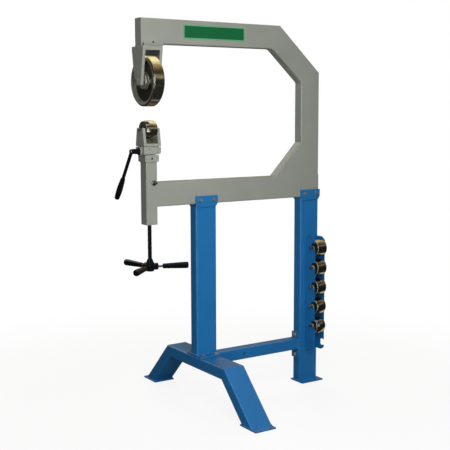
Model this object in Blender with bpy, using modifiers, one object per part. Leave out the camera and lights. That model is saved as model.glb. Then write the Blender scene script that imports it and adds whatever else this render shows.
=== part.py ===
"""English wheel: a C-frame of box tube on a bolted stand, with a fixed upper wheel and a lower anvil
wheel that a screw raises and a cam lever drops in one throw. Metres, +Z up.

The C lies in the XZ plane, with its mouth towards -X. While the pieces are made, X = 0 is the plane
through both wheel axes and z = 0 is the floor. The last step slides the whole machine along X, so
that the origin ends at the centre of its footprint. The rack and the lever side face -Y.
"""

import math

import bmesh
import bpy
from mathutils import Matrix, Vector

# Clearances and allowances
FIT_GAP = 0.0003
WELD_DEPTH = 0.001
EDGE_SET = 0.0005
OVERRUN = 0.01
MERGE_DISTANCE = 0.000001

# Box tube of the frame and of the stand
TUBE_WIDTH = 0.0508
TUBE_DEPTH = 0.1016
TUBE_WALL = 0.0048
TUBE_CORNER = 0.006
LEAST_BORE_CORNER_SHARE = 0.2

# The C-frame, by its throat
THROAT_DEPTH = 0.769
THROAT_HEIGHT = 0.5572
ARM_UNDERSIDE = 0.8716
NOSE_REACH = 0.041
CORNER_LENGTH = 0.158
CORNER_DROP = 0.1432
GUSSET_LENGTH = 0.1391
GUSSET_RISE = 0.1465
END_CAP_THICKNESS = 0.003
END_CAP_RECESS = 0.0005

# Front post, which guides the stem of the lower wheel
POST_WIDTH = 0.0508
POST_RISE_SHARE = 0.663473
POST_DROP = 0.0736
POST_CORNER = 0.005
COLLAR_WIDTH = 0.0635
COLLAR_HEIGHT = 0.0288
COLLAR_RISE = 0.0022
COLLAR_HOLE_DROP = 0.014
COLLAR_CORNER = 0.002
COLLAR_HOLE = 0.0087
NUT_BLOCK_HEIGHT = 0.0254
LOCK_BOLT_DROP = 0.0027
LOCK_BOLT_OFFSET = 0.0107
LOCK_BOLT_HEAD = 0.023
LOCK_BOLT_DOME = 0.007
LOCK_BOLT_SHANK = 0.012
LOCK_SOCKET_WIDTH = 0.008
LOCK_SOCKET_DEPTH = 0.004

# Stem of the carriage
STEM_WIDTH = 0.0381
STEM_CORNER = 0.002
STEM_TO_NUT = 0.0886
CARRIAGE_CLEARANCE = 0.0035

# Upper wheel fork
FORK_SPAN = 0.0905
FORK_PLATE = 0.0127
FORK_TOP_PLATE = 0.016
FORK_TOP_WIDTH = 0.094
FORK_TIP_WIDTH = 0.049
FORK_TIP_DROP = 0.0172
FORK_TIP_CORNER = 0.008
FORK_PAD_HEIGHT = 0.0104
FORK_PAD_LENGTH = 0.088
FORK_PAD_OFFSET = 0.016
FORK_WEB = 0.006
FORK_WEB_SET = 0.005

# Upper wheel, its bearings and its axle bolt
UPPER_WHEEL_DIAMETER = 0.2032
UPPER_WHEEL_WIDTH = 0.0508
UPPER_WHEEL_DROP = 0.1378
UPPER_WHEEL_BEVEL = 0.005
UPPER_RIM_THICKNESS = 0.0136
UPPER_RIM_DRAFT = 0.002
UPPER_WEB_THICKNESS = 0.018
UPPER_HUB_DIAMETER = 0.064
UPPER_BORE_CLEARANCE = 0.0015
BEARING_DIAMETER = 0.035
BEARING_WIDTH = 0.011
BEARING_SPACER_DIAMETER = 0.022
BEARING_GROOVE_DEPTH = 0.0008
BEARING_RACE_SHARE = 0.3
UPPER_AXLE_DIAMETER = 0.0159
AXLE_HEAD_WIDTH = 0.0225
AXLE_HEAD_HEIGHT = 0.0085
AXLE_NUT_HEIGHT = 0.0095
AXLE_TAIL = 0.004

# Anvil wheels and their axles
ANVIL_DIAMETER = 0.0762
ANVIL_WIDTH = 0.0508
ANVIL_BEVEL = 0.0016
ANVIL_AXLE_DIAMETER = 0.0127
ANVIL_AXLE_LENGTH = 0.0873
ANVIL_AXLE_CHAMFER = 0.001
ANVIL_RACE_DIAMETER = 0.019
ANVIL_RACE_PROUD = 0.0008
WORKING_CROWN = 0.6
STORED_CROWNS = (0.0508, 0.0762, 0.1016, 0.1524, 0.254)

# Yoke that holds the working anvil
YOKE_LENGTH = 0.079
YOKE_WIDTH = 0.0694
YOKE_TOP_WIDTH = 0.0492
YOKE_PLATE = 0.0127
YOKE_AXLE_RISE = 0.068
YOKE_WEB = 0.006
YOKE_WEB_SET = 0.004
YOKE_WEB_DROP = 0.034
YOKE_HORN = 0.008
YOKE_TOP_CORNER = 0.004
FOLLOWER_LENGTH = 0.028
FOLLOWER_WIDTH = 0.018
GUIDE_PIN_DIAMETER = 0.0095
GUIDE_PIN_SPACING = 0.055
GUIDE_PIN_LENGTH = 0.02

# Cam housing on top of the stem
HOUSING_HEIGHT = 0.0305
HOUSING_EDGE = 0.001
HOUSING_FLOOR = 0.0018
COVER_THICKNESS = 0.0168
COVER_CHAMFER = 0.007
BOSS_DIAMETER = 0.035
BOSS_LENGTH = 0.006
CAM_AXIS_DEPTH = 0.018
WINDOW_MARGIN = 0.003
OIL_HOLE = 0.004
OIL_HOLE_DEPTH = 0.005
OIL_HOLE_OFFSET = 0.0154
OIL_HOLE_HEIGHT = 0.0195

# The cam: its support radius grows evenly with the lever's angle, then returns
CAM_START_RADIUS = 0.008
CAM_LIFT = 0.008
CAM_THROW = math.radians(110)
CAM_LENGTH = 0.034
CAM_END_GAP = 0.001
CAM_CAVITY_CLEARANCE = 0.0008

# Cam shaft and lever
FRONT_JOURNAL = 0.022
REAR_JOURNAL = 0.0127
REAR_JOURNAL_LENGTH = 0.01
HUB_REACH = 0.039
HUB_ROOT_DIAMETER = 0.024
HUB_END_DIAMETER = 0.017
HUB_END_EDGE = 0.0015
LEVER_ANGLE = math.radians(34.9)
LEVER_INSET = 0.007
LEVER_LENGTH = 0.246
LEVER_ROD_DIAMETER = 0.012
LEVER_SOCKET = 0.003
LEVER_GRIP_LENGTH = 0.107
LEVER_GRIP_START = 0.0186
LEVER_GRIP_WAIST = 0.0256
LEVER_GRIP_END = 0.02
LEVER_GRIP_ROUNDING = 0.004
GRIP_WAIST_SHARE = 0.55
LEVER_ROD_INSERT = 0.06

# Lift screw and its three-arm crank
SCREW_DIAMETER = 0.018
SCREW_SPIGOT = 0.0114
SCREW_SPIGOT_LENGTH = 0.014
THRUST_DIAMETER = 0.026
THRUST_HEIGHT = 0.009
CRANK_HUB_HEIGHT = 0.038
CRANK_HUB_DIAMETER = 0.034
CRANK_NECK_HEIGHT = 0.013
CRANK_NECK_ROOT_DIAMETER = 0.03
CRANK_NECK_TOP_DIAMETER = 0.0212
CRANK_BOSS_DIAMETER = 0.0285
CRANK_BOSS_REACH = 0.034
CRANK_HUB_GAP = 0.157
CRANK_AZIMUTH = math.radians(-18.8)
CRANK_ARMS = 3
CRANK_ROD_DIAMETER = 0.009
CRANK_SOCKET_DEPTH = 0.012
CRANK_GRIP_START = 0.054
CRANK_GRIP_END = 0.1627
CRANK_GRIP_ROOT_DIAMETER = 0.0186
CRANK_GRIP_TIP_DIAMETER = 0.027
CRANK_GRIP_ROUNDING = 0.005
GRIP_SHOULDER_SHARE = 0.8
CRANK_ROD_INSERT = 0.04

# Stand
FRONT_COLUMN_X = 0.2609
BEAM_TOP = 0.2071
BEAM_UNDERSIDE_LENGTH = 0.4284
LEG_ANGLE = math.radians(45)
FOOT_THICKNESS = 0.00635
FOOT_INNER_MARGIN = 0.0131
FOOT_OUTER_MARGIN = 0.0265
BASE_FLANGE_THICKNESS = 0.008
BASE_FLANGE_WIDTH = 0.113
REAR_FOOT_SETBACK = 0.0026
REAR_FOOT_TAIL = 0.023
REAR_FOOT_WIDTH = 0.09
EAR_THICKNESS = 0.00635
EAR_LENGTH = 0.1097
EAR_RISE = 0.0334
EAR_SHOULDER_RISE = 0.0023
EAR_DROP = 0.0126
EAR_ROOT_LENGTH = 0.0924
EAR_BOLT_SPACING = 0.064
EAR_BOLT_RISE = 0.0159
BASE_BOLT_INSET = 0.0188
BASE_BOLT_GAUGE = 0.094
TIE_TOP = 0.2133
TIE_HOLE = 0.009
TIE_HOLE_X = 0.4576
TIE_FLANGE_THICKNESS = 0.008
TIE_FLANGE_DROP = 0.0425
TIE_FLANGE_RISE = 0.0277
TIE_BOLT_MARGIN = 0.014
TIE_BOLT_SIZE = 1.3
TIE_BOLT_TAIL = 0.02

# Bolts of the stand
BOLT_DIAMETER = 0.0095
BOLT_HEAD_WIDTH = 0.0142
BOLT_HEAD_HEIGHT = 0.006
BOLT_NUT_HEIGHT = 0.008
BOLT_TAIL = 0.003
WASHER_DIAMETER = 0.0165
WASHER_THICKNESS = 0.0015

# Anvil rack: a bent channel with J notches
RACK_OFFSET = 0.0098
RACK_WIDTH = 0.059
RACK_SHEET = 0.003
RACK_BEND = 0.0055
RACK_EDGE = 0.0915
RACK_BOTTOM = 0.161
RACK_TOP = 0.69
RACK_BOTTOM_SLOPE_START = 0.072
RACK_BOTTOM_SLOPE_RISE = 0.0115
RACK_TOP_SLOPE_LENGTH = 0.0195
RACK_TOP_SLOPE_DROP = 0.015
NOTCHES = 6
NOTCH_PITCH = 0.0904
NOTCH_FIRST_SEAT = 0.188
NOTCH_CENTRE = 0.0747
NOTCH_RADIUS = 0.0073
NOTCH_LIP_START = 0.082
NOTCH_LIP_HEIGHT = 0.183
NOTCH_MOUTH_HEIGHT = 0.211
NOTCH_RAMP_ANGLE = math.radians(55)
NOTCH_MOUTH_CORNER = 0.003

# Facets of the round pieces
WHEEL_STEPS = 40
ANVIL_STEPS = 24
SHAFT_STEPS = 18
AXLE_STEPS = 12
BOLT_STEPS = 10
GRIP_STEPS = 14
NOTCH_STEPS = 6
CROWN_STEPS = 4
DOME_STEPS = 3
CAM_STEPS = 12
CORNER_STEPS = 2
SHARP_ANGLE = math.radians(35)
FULL_TURN = 2 * math.pi
QUARTER = math.pi / 2

# Heights that follow from the sizes above
LOWER_ARM_TOP = ARM_UNDERSIDE + TUBE_DEPTH
UPPER_ARM_UNDERSIDE = LOWER_ARM_TOP + THROAT_HEIGHT
FORK_TOP = UPPER_ARM_UNDERSIDE - FORK_PAD_HEIGHT
UPPER_AXIS = FORK_TOP - UPPER_WHEEL_DROP
CARRIAGE_HEIGHT = CARRIAGE_CLEARANCE + HOUSING_HEIGHT + FIT_GAP + YOKE_AXLE_RISE + ANVIL_DIAMETER / 2
FREE_HEIGHT = UPPER_AXIS - UPPER_WHEEL_DIAMETER / 2 - CARRIAGE_HEIGHT - LOWER_ARM_TOP
POST_TOP = LOWER_ARM_TOP + FREE_HEIGHT * POST_RISE_SHARE
POST_BOTTOM = ARM_UNDERSIDE - POST_DROP
HOUSING_BOTTOM = POST_TOP + CARRIAGE_CLEARANCE
HOUSING_TOP = HOUSING_BOTTOM + HOUSING_HEIGHT
CAM_AXIS = HOUSING_TOP - CAM_AXIS_DEPTH
YOKE_BOTTOM = HOUSING_TOP + FIT_GAP
ANVIL_AXIS = YOKE_BOTTOM + YOKE_AXLE_RISE
STEM_BOTTOM = POST_BOTTOM + NUT_BLOCK_HEIGHT + STEM_TO_NUT
THRUST_BOTTOM = STEM_BOTTOM - FIT_GAP - THRUST_HEIGHT
CRANK_HUB_TOP = POST_BOTTOM - CRANK_HUB_GAP
BEAM_UNDERSIDE = BEAM_TOP - TUBE_WIDTH
TIE_UNDERSIDE = TIE_TOP - TUBE_WIDTH
POST_BORE = STEM_WIDTH + 2 * FIT_GAP
BOLT_HOLE = BOLT_DIAMETER + 2 * FIT_GAP
TIE_BOLT_HOLE = TIE_BOLT_SIZE * BOLT_DIAMETER + 2 * FIT_GAP
REAR_COLUMN_X = THROAT_DEPTH + TUBE_DEPTH / 2
RACK_X = REAR_COLUMN_X + RACK_OFFSET
BASE_FLANGE_TOP = BEAM_TOP + FIT_GAP + BASE_FLANGE_THICKNESS
BASE_BOLT_SPACING = TUBE_DEPTH - 2 * BASE_BOLT_INSET

# Ways to turn a shape that was drawn flat or made upright
UPRIGHT = (0, 0, 0)
FACING_Y = (QUARTER, 0, 0)
FACING_X = (QUARTER, 0, QUARTER)
ALONG_X = (0, QUARTER, 0)
AGAINST_X = (0, -QUARTER, 0)

ACROSS_X = Vector((1, 0, 0))
ACROSS_Y = Vector((0, 1, 0))
UP = Vector((0, 0, 1))
ORIGIN = Vector((0, 0, 0))


def clear_scene():
    """Removes every object, so that the script can be run again in an open file."""
    for thing in list(bpy.data.objects):
        bpy.data.objects.remove(thing, do_unlink=True)


def new_collection(name):
    """A collection in the scene, for the parts or for the cutters."""
    group = bpy.data.collections.new(name)
    bpy.context.scene.collection.children.link(group)
    return group


def hang(thing, pivot):
    """Parents a thing to a pivot and keeps its place, which is given in the machine's own frame."""
    thing.parent = pivot
    thing.matrix_parent_inverse = Matrix.Translation(-pivot.location)


def new_pivot(name, place, parent=None):
    """An empty on a joint's axis, which carries the pieces that move with it."""
    pivot = bpy.data.objects.new(name, None)
    PARTS.objects.link(pivot)
    pivot.location = place
    if parent:
        hang(pivot, parent)
    return pivot


def new_finish(name, colour, roughness, metallic):
    """A plain Principled material."""
    finish = bpy.data.materials.new(name)
    finish.use_nodes = True
    shader = finish.node_tree.nodes["Principled BSDF"]
    shader.inputs["Base Color"].default_value = (*colour, 1)
    shader.inputs["Roughness"].default_value = roughness
    shader.inputs["Metallic"].default_value = metallic
    return finish


def finished_mesh(helper):
    """The mesh that a helper's curve or modifiers make, with its seams welded and its faces outward."""
    bpy.context.view_layer.update()
    graph = bpy.context.evaluated_depsgraph_get()
    mesh = bpy.data.meshes.new_from_object(helper.evaluated_get(graph))
    bpy.data.objects.remove(helper)
    work = bmesh.new()
    work.from_mesh(mesh)
    bmesh.ops.remove_doubles(work, verts=work.verts, dist=MERGE_DISTANCE)
    bmesh.ops.recalc_face_normals(work, faces=work.faces)
    work.to_mesh(mesh)
    work.free()
    return mesh


def smooth(mesh):
    """Shades a round mesh smooth, and keeps its real edges sharp."""
    mesh.shade_smooth()
    mesh.set_sharp_from_angle(angle=SHARP_ANGLE)
    return mesh


def new_helper(data):
    """An object that lives only until its mesh is finished."""
    helper = bpy.data.objects.new("helper", data)
    bpy.context.scene.collection.objects.link(helper)
    return helper


def extruded(loops, thickness):
    """A flat outline, with holes where it has inner loops, given a thickness centred on z = 0."""
    curve = bpy.data.curves.new("outline", "CURVE")
    curve.dimensions = "2D"
    curve.fill_mode = "BOTH"
    curve.extrude = thickness / 2
    for loop in loops:
        spline = curve.splines.new("POLY")
        spline.points.add(len(loop) - 1)
        for point, (x, y) in zip(spline.points, loop):
            point.co = (x, y, 0, 1)
        spline.use_cyclic_u = True
    return finished_mesh(new_helper(curve))


def turned(profile, steps, closed=False):
    """A profile of (radius, height) points, drawn down its outer side, carried round the Z axis."""
    mesh = bpy.data.meshes.new("profile")
    points = [(radius, 0, height) for radius, height in profile]
    edges = [(i, i + 1) for i in range(len(points) - 1)]
    if closed:
        edges.append((len(points) - 1, 0))
    mesh.from_pydata(points, edges, [])
    helper = new_helper(mesh)
    turning = helper.modifiers.new("turning", "SCREW")
    turning.steps = steps
    turning.render_steps = steps
    turning.use_merge_vertices = True
    turning.merge_threshold = MERGE_DISTANCE
    return smooth(finished_mesh(helper))


def block(length, width, height, edge=0):
    """A box centred on the origin, with an optional flat edge all round."""
    mesh = bpy.data.meshes.new("block")
    work = bmesh.new()
    bmesh.ops.create_cube(work, size=1)
    bmesh.ops.scale(work, vec=(length, width, height), verts=work.verts)
    if edge:
        bmesh.ops.bevel(work, geom=work.edges, offset=edge, segments=1, affect="EDGES")
    work.to_mesh(mesh)
    work.free()
    return mesh


def rod(diameter, length, steps):
    """A straight cylinder on Z, centred on the origin."""
    mesh = bpy.data.meshes.new("rod")
    work = bmesh.new()
    bmesh.ops.create_cone(
        work, cap_ends=True, segments=steps, radius1=diameter / 2, radius2=diameter / 2, depth=length
    )
    work.to_mesh(mesh)
    work.free()
    return smooth(mesh)


def hexagon(width, height):
    """A hexagonal prism on Z, by its width across flats."""
    return rod(2 * width / math.sqrt(3), height, 6)


def fused(base, additions):
    """One mesh from a base mesh and others, each given with its height along Z."""
    helper = new_helper(base)
    others = []
    for mesh, height in additions:
        other = new_helper(mesh)
        other.location.z = height
        union = helper.modifiers.new("union", "BOOLEAN")
        union.operation = "UNION"
        union.object = other
        others.append(other)
    mesh = finished_mesh(helper)
    for other in others:
        bpy.data.objects.remove(other)
    return smooth(mesh)


def shape(mesh, place=ORIGIN, turn=UPRIGHT):
    """A hidden shape that cuts a part, is joined to it, or bounds it."""
    helper = bpy.data.objects.new("shape", mesh)
    CUTTERS.objects.link(helper)
    helper.location = place
    helper.rotation_euler = turn
    helper.hide_render = True
    helper.display_type = "WIRE"
    hang(helper, MACHINE)
    return helper


def part(name, finish, mesh, pivot, place, turn=UPRIGHT, bounded=(), joined=(), cut=()):
    """A sub-part: a mesh, bounded by some shapes, joined with others and cut by the last."""
    node = bpy.data.objects.new(name, mesh)
    PARTS.objects.link(node)
    node.location = place
    node.rotation_euler = turn
    hang(node, pivot)
    if not mesh.materials:
        mesh.materials.append(finish)
    for operation, helpers in (("INTERSECT", bounded), ("UNION", joined), ("DIFFERENCE", cut)):
        for helper in helpers:
            change = node.modifiers.new(operation.lower(), "BOOLEAN")
            change.operation = operation
            change.object = helper
    return node


def arc(centre, radius, start, end, steps):
    """Points on an arc, from one angle to another, both ends included."""
    angles = [start + (end - start) * i / steps for i in range(steps + 1)]
    return [(centre[0] + radius * math.cos(a), centre[1] + radius * math.sin(a)) for a in angles]


def rounded_rectangle(width, height, corner):
    """A rectangle's outline about the origin, with round corners."""
    x = width / 2 - corner
    y = height / 2 - corner
    points = []
    for number, centre in enumerate(((x, y), (-x, y), (-x, -y), (x, -y))):
        start = number * QUARTER
        points += arc(centre, corner, start, start + QUARTER, CORNER_STEPS)
    return points


def bore_corner(corner, wall):
    """The corner inside a square tube: concentric with the outer one, but never sharp."""
    return max(corner - wall, corner * LEAST_BORE_CORNER_SHARE)


def square_ring(width, depth, wall, corner):
    """A box tube's section: its outside and its bore."""
    bore = rounded_rectangle(width - 2 * wall, depth - 2 * wall, bore_corner(corner, wall))
    return [rounded_rectangle(width, depth, corner), bore]


def mitre_slope(before, corner, after):
    """How far a tube's end reaches per unit of height where a path turns clockwise at a corner."""
    first = (corner - before).normalized()
    second = (after - corner).normalized()
    cross = first.x * second.y - first.y * second.x
    return math.tan(math.atan2(-cross, first.dot(second)) / 2)


def mitre_trim(slope):
    """Half a fit gap square to a mitred end, measured along the tube."""
    return FIT_GAP / 2 * math.sqrt(1 + slope * slope)


def tube(name, finish, plane, start, end, section, slopes=(0, 0), trims=(0, 0), joined=(), cut=()):
    """Box tube on the left of a line in a plane, with each end cut to a slope and trimmed.

    The plane is a point and two directions. The section is width across the plane, depth in it,
    wall and corner. Each end vertex slides along the tube to height times slope past its end.
    """
    centre, across, up = plane
    width, depth, wall, corner = section
    along = (end - start).normalized()
    way = across * along.x + up * along.y
    outward = across * -along.y + up * along.x
    length = (end - start).length
    mesh = extruded(square_ring(width, depth, wall, corner), length)
    for vertex in mesh.vertices:
        height = vertex.co.y + depth / 2
        if vertex.co.z > 0:
            vertex.co.z = length + slopes[1] * height - trims[1]
        else:
            vertex.co.z = trims[0] - slopes[0] * height
    place = centre + across * start.x + up * start.y + outward * depth / 2
    turn = Matrix((outward.cross(way), outward, way)).transposed().to_euler()
    return part(name, finish, smooth(mesh), MACHINE, place, turn, joined=joined, cut=cut)


def bolt_holes(places, diameter, length, turn):
    """Cutters for a set of bolt holes."""
    return [shape(rod(diameter, length, BOLT_STEPS), place, turn) for place in places]


def pairs(x_spacing, y_spacing):
    """The four corners of a bolt pattern about its centre."""
    return [(x, y) for x in (-x_spacing / 2, x_spacing / 2) for y in (-y_spacing / 2, y_spacing / 2)]


def ear_bolt_xs(column_x):
    """Where the two bolts of a column's ears lie along X."""
    return (column_x - EAR_BOLT_SPACING / 2, column_x + EAR_BOLT_SPACING / 2)


def end_cap(x):
    """The plate welded in an arm's open end, centred at x. Its edge lies in the tube's wall."""
    width = TUBE_WIDTH - 2 * TUBE_WALL + 2 * WELD_DEPTH
    height = TUBE_DEPTH - 2 * TUBE_WALL + 2 * WELD_DEPTH
    return block(END_CAP_THICKNESS, width, height), x


def make_c_frame():
    """The C of box tube: upper arm, diagonal, spine and lower arm, with the throat gusset."""
    plane = (ORIGIN, ACROSS_X, UP)
    section = (TUBE_WIDTH, TUBE_DEPTH, TUBE_WALL, TUBE_CORNER)
    nose = Vector((-NOSE_REACH, UPPER_ARM_UNDERSIDE))
    upper_corner = Vector((THROAT_DEPTH - CORNER_LENGTH, UPPER_ARM_UNDERSIDE))
    spine_corner = Vector((THROAT_DEPTH, UPPER_ARM_UNDERSIDE - CORNER_DROP))
    spine_foot = Vector((THROAT_DEPTH, LOWER_ARM_TOP + FIT_GAP))
    arm_tail = Vector((THROAT_DEPTH + TUBE_DEPTH, LOWER_ARM_TOP))
    arm_root = Vector((POST_WIDTH / 2 + FIT_GAP, LOWER_ARM_TOP))

    first = mitre_slope(nose, upper_corner, spine_corner)
    second = mitre_slope(upper_corner, spine_corner, spine_foot)
    first_trim = mitre_trim(first)
    second_trim = mitre_trim(second)
    cap_depth = END_CAP_RECESS + END_CAP_THICKNESS / 2

    cap, cap_x = end_cap(cap_depth - NOSE_REACH)
    nose_cap = shape(cap, (cap_x, 0, UPPER_ARM_UNDERSIDE + TUBE_DEPTH / 2))
    tube("upper_arm", FRAME_PAINT, plane, nose, upper_corner, section,
         slopes=(0, first), trims=(0, first_trim), joined=[nose_cap])
    tube("upper_diagonal", FRAME_PAINT, plane, upper_corner, spine_corner, section,
         slopes=(first, second), trims=(first_trim, second_trim))
    tube("spine", FRAME_PAINT, plane, spine_corner, spine_foot, section,
         slopes=(second, 0), trims=(second_trim, 0))

    cap, cap_x = end_cap(THROAT_DEPTH + TUBE_DEPTH - cap_depth)
    tail_cap = shape(cap, (cap_x, 0, ARM_UNDERSIDE + TUBE_DEPTH / 2))
    bolt_xs = ear_bolt_xs(FRONT_COLUMN_X) + ear_bolt_xs(REAR_COLUMN_X)
    places = [(x, 0, ARM_UNDERSIDE + EAR_BOLT_RISE) for x in bolt_xs]
    holes = bolt_holes(places, BOLT_HOLE, TUBE_WIDTH + 2 * OVERRUN, FACING_Y)
    tube("lower_arm", FRAME_PAINT, plane, arm_tail, arm_root, section, joined=[tail_cap], cut=holes)
    make_gusset()


def make_gusset():
    """The three-sided box in the throat's lower corner, open towards the spine and the arm."""
    corner = Vector((THROAT_DEPTH - FIT_GAP, LOWER_ARM_TOP + FIT_GAP))
    outline = [corner, corner + Vector((0, GUSSET_RISE)), corner - Vector((GUSSET_LENGTH, 0))]
    hypotenuse = math.hypot(GUSSET_LENGTH, GUSSET_RISE)
    reach = GUSSET_LENGTH * GUSSET_RISE / hypotenuse
    inside_share = (reach - TUBE_WALL) / reach
    slope = GUSSET_RISE / GUSSET_LENGTH
    inner_rise = GUSSET_RISE * inside_share + OVERRUN * slope
    inner_run = GUSSET_LENGTH * inside_share + OVERRUN / slope
    hollow = [
        corner + Vector((OVERRUN, -OVERRUN)),
        corner + Vector((OVERRUN, inner_rise)),
        corner - Vector((inner_run, OVERRUN)),
    ]
    inside = shape(extruded([hollow], TUBE_WIDTH - 2 * TUBE_WALL), ORIGIN, FACING_Y)
    part("throat_gusset", FRAME_PAINT, extruded([outline], TUBE_WIDTH), MACHINE, ORIGIN, FACING_Y,
         cut=[inside])


def make_post():
    """The square post that guides the stem, with its collar, threaded nut block and lock bolt."""
    plane = (ORIGIN, ACROSS_X, UP)
    wall = (POST_WIDTH - POST_BORE) / 2
    section = (POST_WIDTH, POST_WIDTH, wall, POST_CORNER)
    lock_place = Vector((LOCK_BOLT_OFFSET, -POST_WIDTH / 2 - FIT_GAP, LOWER_ARM_TOP - LOCK_BOLT_DROP))
    lock_hole = rod(LOCK_BOLT_SHANK + 2 * FIT_GAP, POST_WIDTH, SHAFT_STEPS)
    tube("front_post", FRAME_PAINT, plane, Vector((POST_WIDTH / 2, POST_BOTTOM)),
         Vector((POST_WIDTH / 2, POST_TOP)), section, cut=[shape(lock_hole, lock_place, FACING_Y)])

    collar_wall = (COLLAR_WIDTH - POST_WIDTH) / 2 - FIT_GAP
    collar = extruded(square_ring(COLLAR_WIDTH, COLLAR_WIDTH, collar_wall, COLLAR_CORNER), COLLAR_HEIGHT)
    collar_middle = POST_TOP + COLLAR_RISE - COLLAR_HEIGHT / 2
    hole_place = (0, -COLLAR_WIDTH / 2, POST_TOP - COLLAR_HOLE_DROP)
    hole = shape(rod(COLLAR_HOLE, COLLAR_WIDTH / 2, BOLT_STEPS), hole_place, FACING_Y)
    part("post_collar", FRAME_PAINT, collar, MACHINE, (0, 0, collar_middle), cut=[hole])

    nut_width = POST_BORE - 2 * FIT_GAP
    nut_middle = Vector((0, 0, POST_BOTTOM + NUT_BLOCK_HEIGHT / 2))
    thread = shape(rod(SCREW_DIAMETER + 2 * FIT_GAP, NUT_BLOCK_HEIGHT + 2 * OVERRUN, SHAFT_STEPS), nut_middle)
    nut = extruded([rounded_rectangle(nut_width, nut_width, STEM_CORNER)], NUT_BLOCK_HEIGHT)
    part("nut_block", STEEL, nut, MACHINE, nut_middle, cut=[thread])

    shank_length = (POST_WIDTH - STEM_WIDTH) / 2
    rim = LOCK_BOLT_HEAD / 2
    dome = [
        (rim * math.sin(angle), LOCK_BOLT_DOME * math.cos(angle))
        for angle in (QUARTER * i / DOME_STEPS for i in range(DOME_STEPS + 1))
    ]
    shank = LOCK_BOLT_SHANK / 2
    profile = dome + [(shank, 0), (shank, -shank_length), (0, -shank_length)]
    socket_place = lock_place - Vector((0, LOCK_BOLT_DOME, 0))
    socket = shape(hexagon(LOCK_SOCKET_WIDTH, 2 * LOCK_SOCKET_DEPTH), socket_place, FACING_Y)
    part("lock_bolt", ZINC, turned(profile, SHAFT_STEPS), MACHINE, lock_place, FACING_Y, cut=[socket])


def forked(span, plate, base_near, base_far, tip):
    """A U section in X and Z: two plates that run from a base to tip, the base between two heights."""
    half = span / 2
    inner = half - plate
    return [
        (-half, tip), (-inner, tip), (-inner, base_near), (inner, base_near),
        (inner, tip), (half, tip), (half, base_far), (-half, base_far),
    ]


def make_upper_fork():
    """The fork under the upper arm, tapered like the real plates, on its spacer pad."""
    section = forked(FORK_SPAN, FORK_PLATE, UPPER_WHEEL_DROP - FORK_TOP_PLATE, UPPER_WHEEL_DROP,
                     -FORK_TIP_DROP - OVERRUN)
    top = FORK_TOP_WIDTH / 2
    tip_x = FORK_TIP_WIDTH / 2 - FORK_TIP_CORNER
    tip_y = FORK_TIP_CORNER - FORK_TIP_DROP
    shoulder = UPPER_WHEEL_DROP - FORK_TOP_PLATE
    silhouette = [(-top, UPPER_WHEEL_DROP + OVERRUN), (-top, shoulder)]
    silhouette += arc((-tip_x, tip_y), FORK_TIP_CORNER, math.pi, math.pi + QUARTER, CORNER_STEPS)
    silhouette += arc((tip_x, tip_y), FORK_TIP_CORNER, -QUARTER, 0, CORNER_STEPS)
    silhouette += [(top, shoulder), (top, UPPER_WHEEL_DROP + OVERRUN)]
    axis = Vector((0, 0, UPPER_AXIS))
    bound = shape(extruded([silhouette], FORK_SPAN + 2 * OVERRUN), axis, FACING_X)
    pad_height = FORK_PAD_HEIGHT - FIT_GAP + WELD_DEPTH
    pad_place = (FORK_PAD_OFFSET, 0, FORK_TOP - WELD_DEPTH + pad_height / 2)
    pad = shape(block(FORK_PAD_LENGTH, TUBE_WIDTH, pad_height), pad_place)
    web_height = FORK_TOP - FORK_TOP_PLATE + WELD_DEPTH - (UPPER_AXIS + UPPER_WHEEL_DIAMETER / 2)
    web_place = (0, top - FORK_WEB_SET - FORK_WEB / 2, FORK_TOP - FORK_TOP_PLATE + WELD_DEPTH - web_height / 2)
    web = shape(block(FORK_SPAN - FORK_PLATE, FORK_WEB, web_height), web_place)
    hole = shape(rod(UPPER_AXLE_DIAMETER + 2 * FIT_GAP, FORK_SPAN + 2 * OVERRUN, SHAFT_STEPS), axis, ALONG_X)
    part("upper_fork", FRAME_PAINT, extruded([section], FORK_TOP_WIDTH + 2 * OVERRUN), MACHINE, axis,
         FACING_Y, bounded=[bound], joined=[pad, web], cut=[hole])

    grip = FORK_SPAN + 2 * FIT_GAP
    shank = grip + AXLE_NUT_HEIGHT + AXLE_TAIL + AXLE_HEAD_HEIGHT / 2
    axle = fused(hexagon(AXLE_HEAD_WIDTH, AXLE_HEAD_HEIGHT), [
        (rod(UPPER_AXLE_DIAMETER, shank, SHAFT_STEPS), -shank / 2),
        (hexagon(AXLE_HEAD_WIDTH, AXLE_NUT_HEIGHT), -(AXLE_HEAD_HEIGHT + AXLE_NUT_HEIGHT) / 2 - grip),
    ])
    head_x = -FORK_SPAN / 2 - FIT_GAP - AXLE_HEAD_HEIGHT / 2
    part("upper_axle", ZINC, axle, MACHINE, (head_x, 0, UPPER_AXIS), AGAINST_X)


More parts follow.
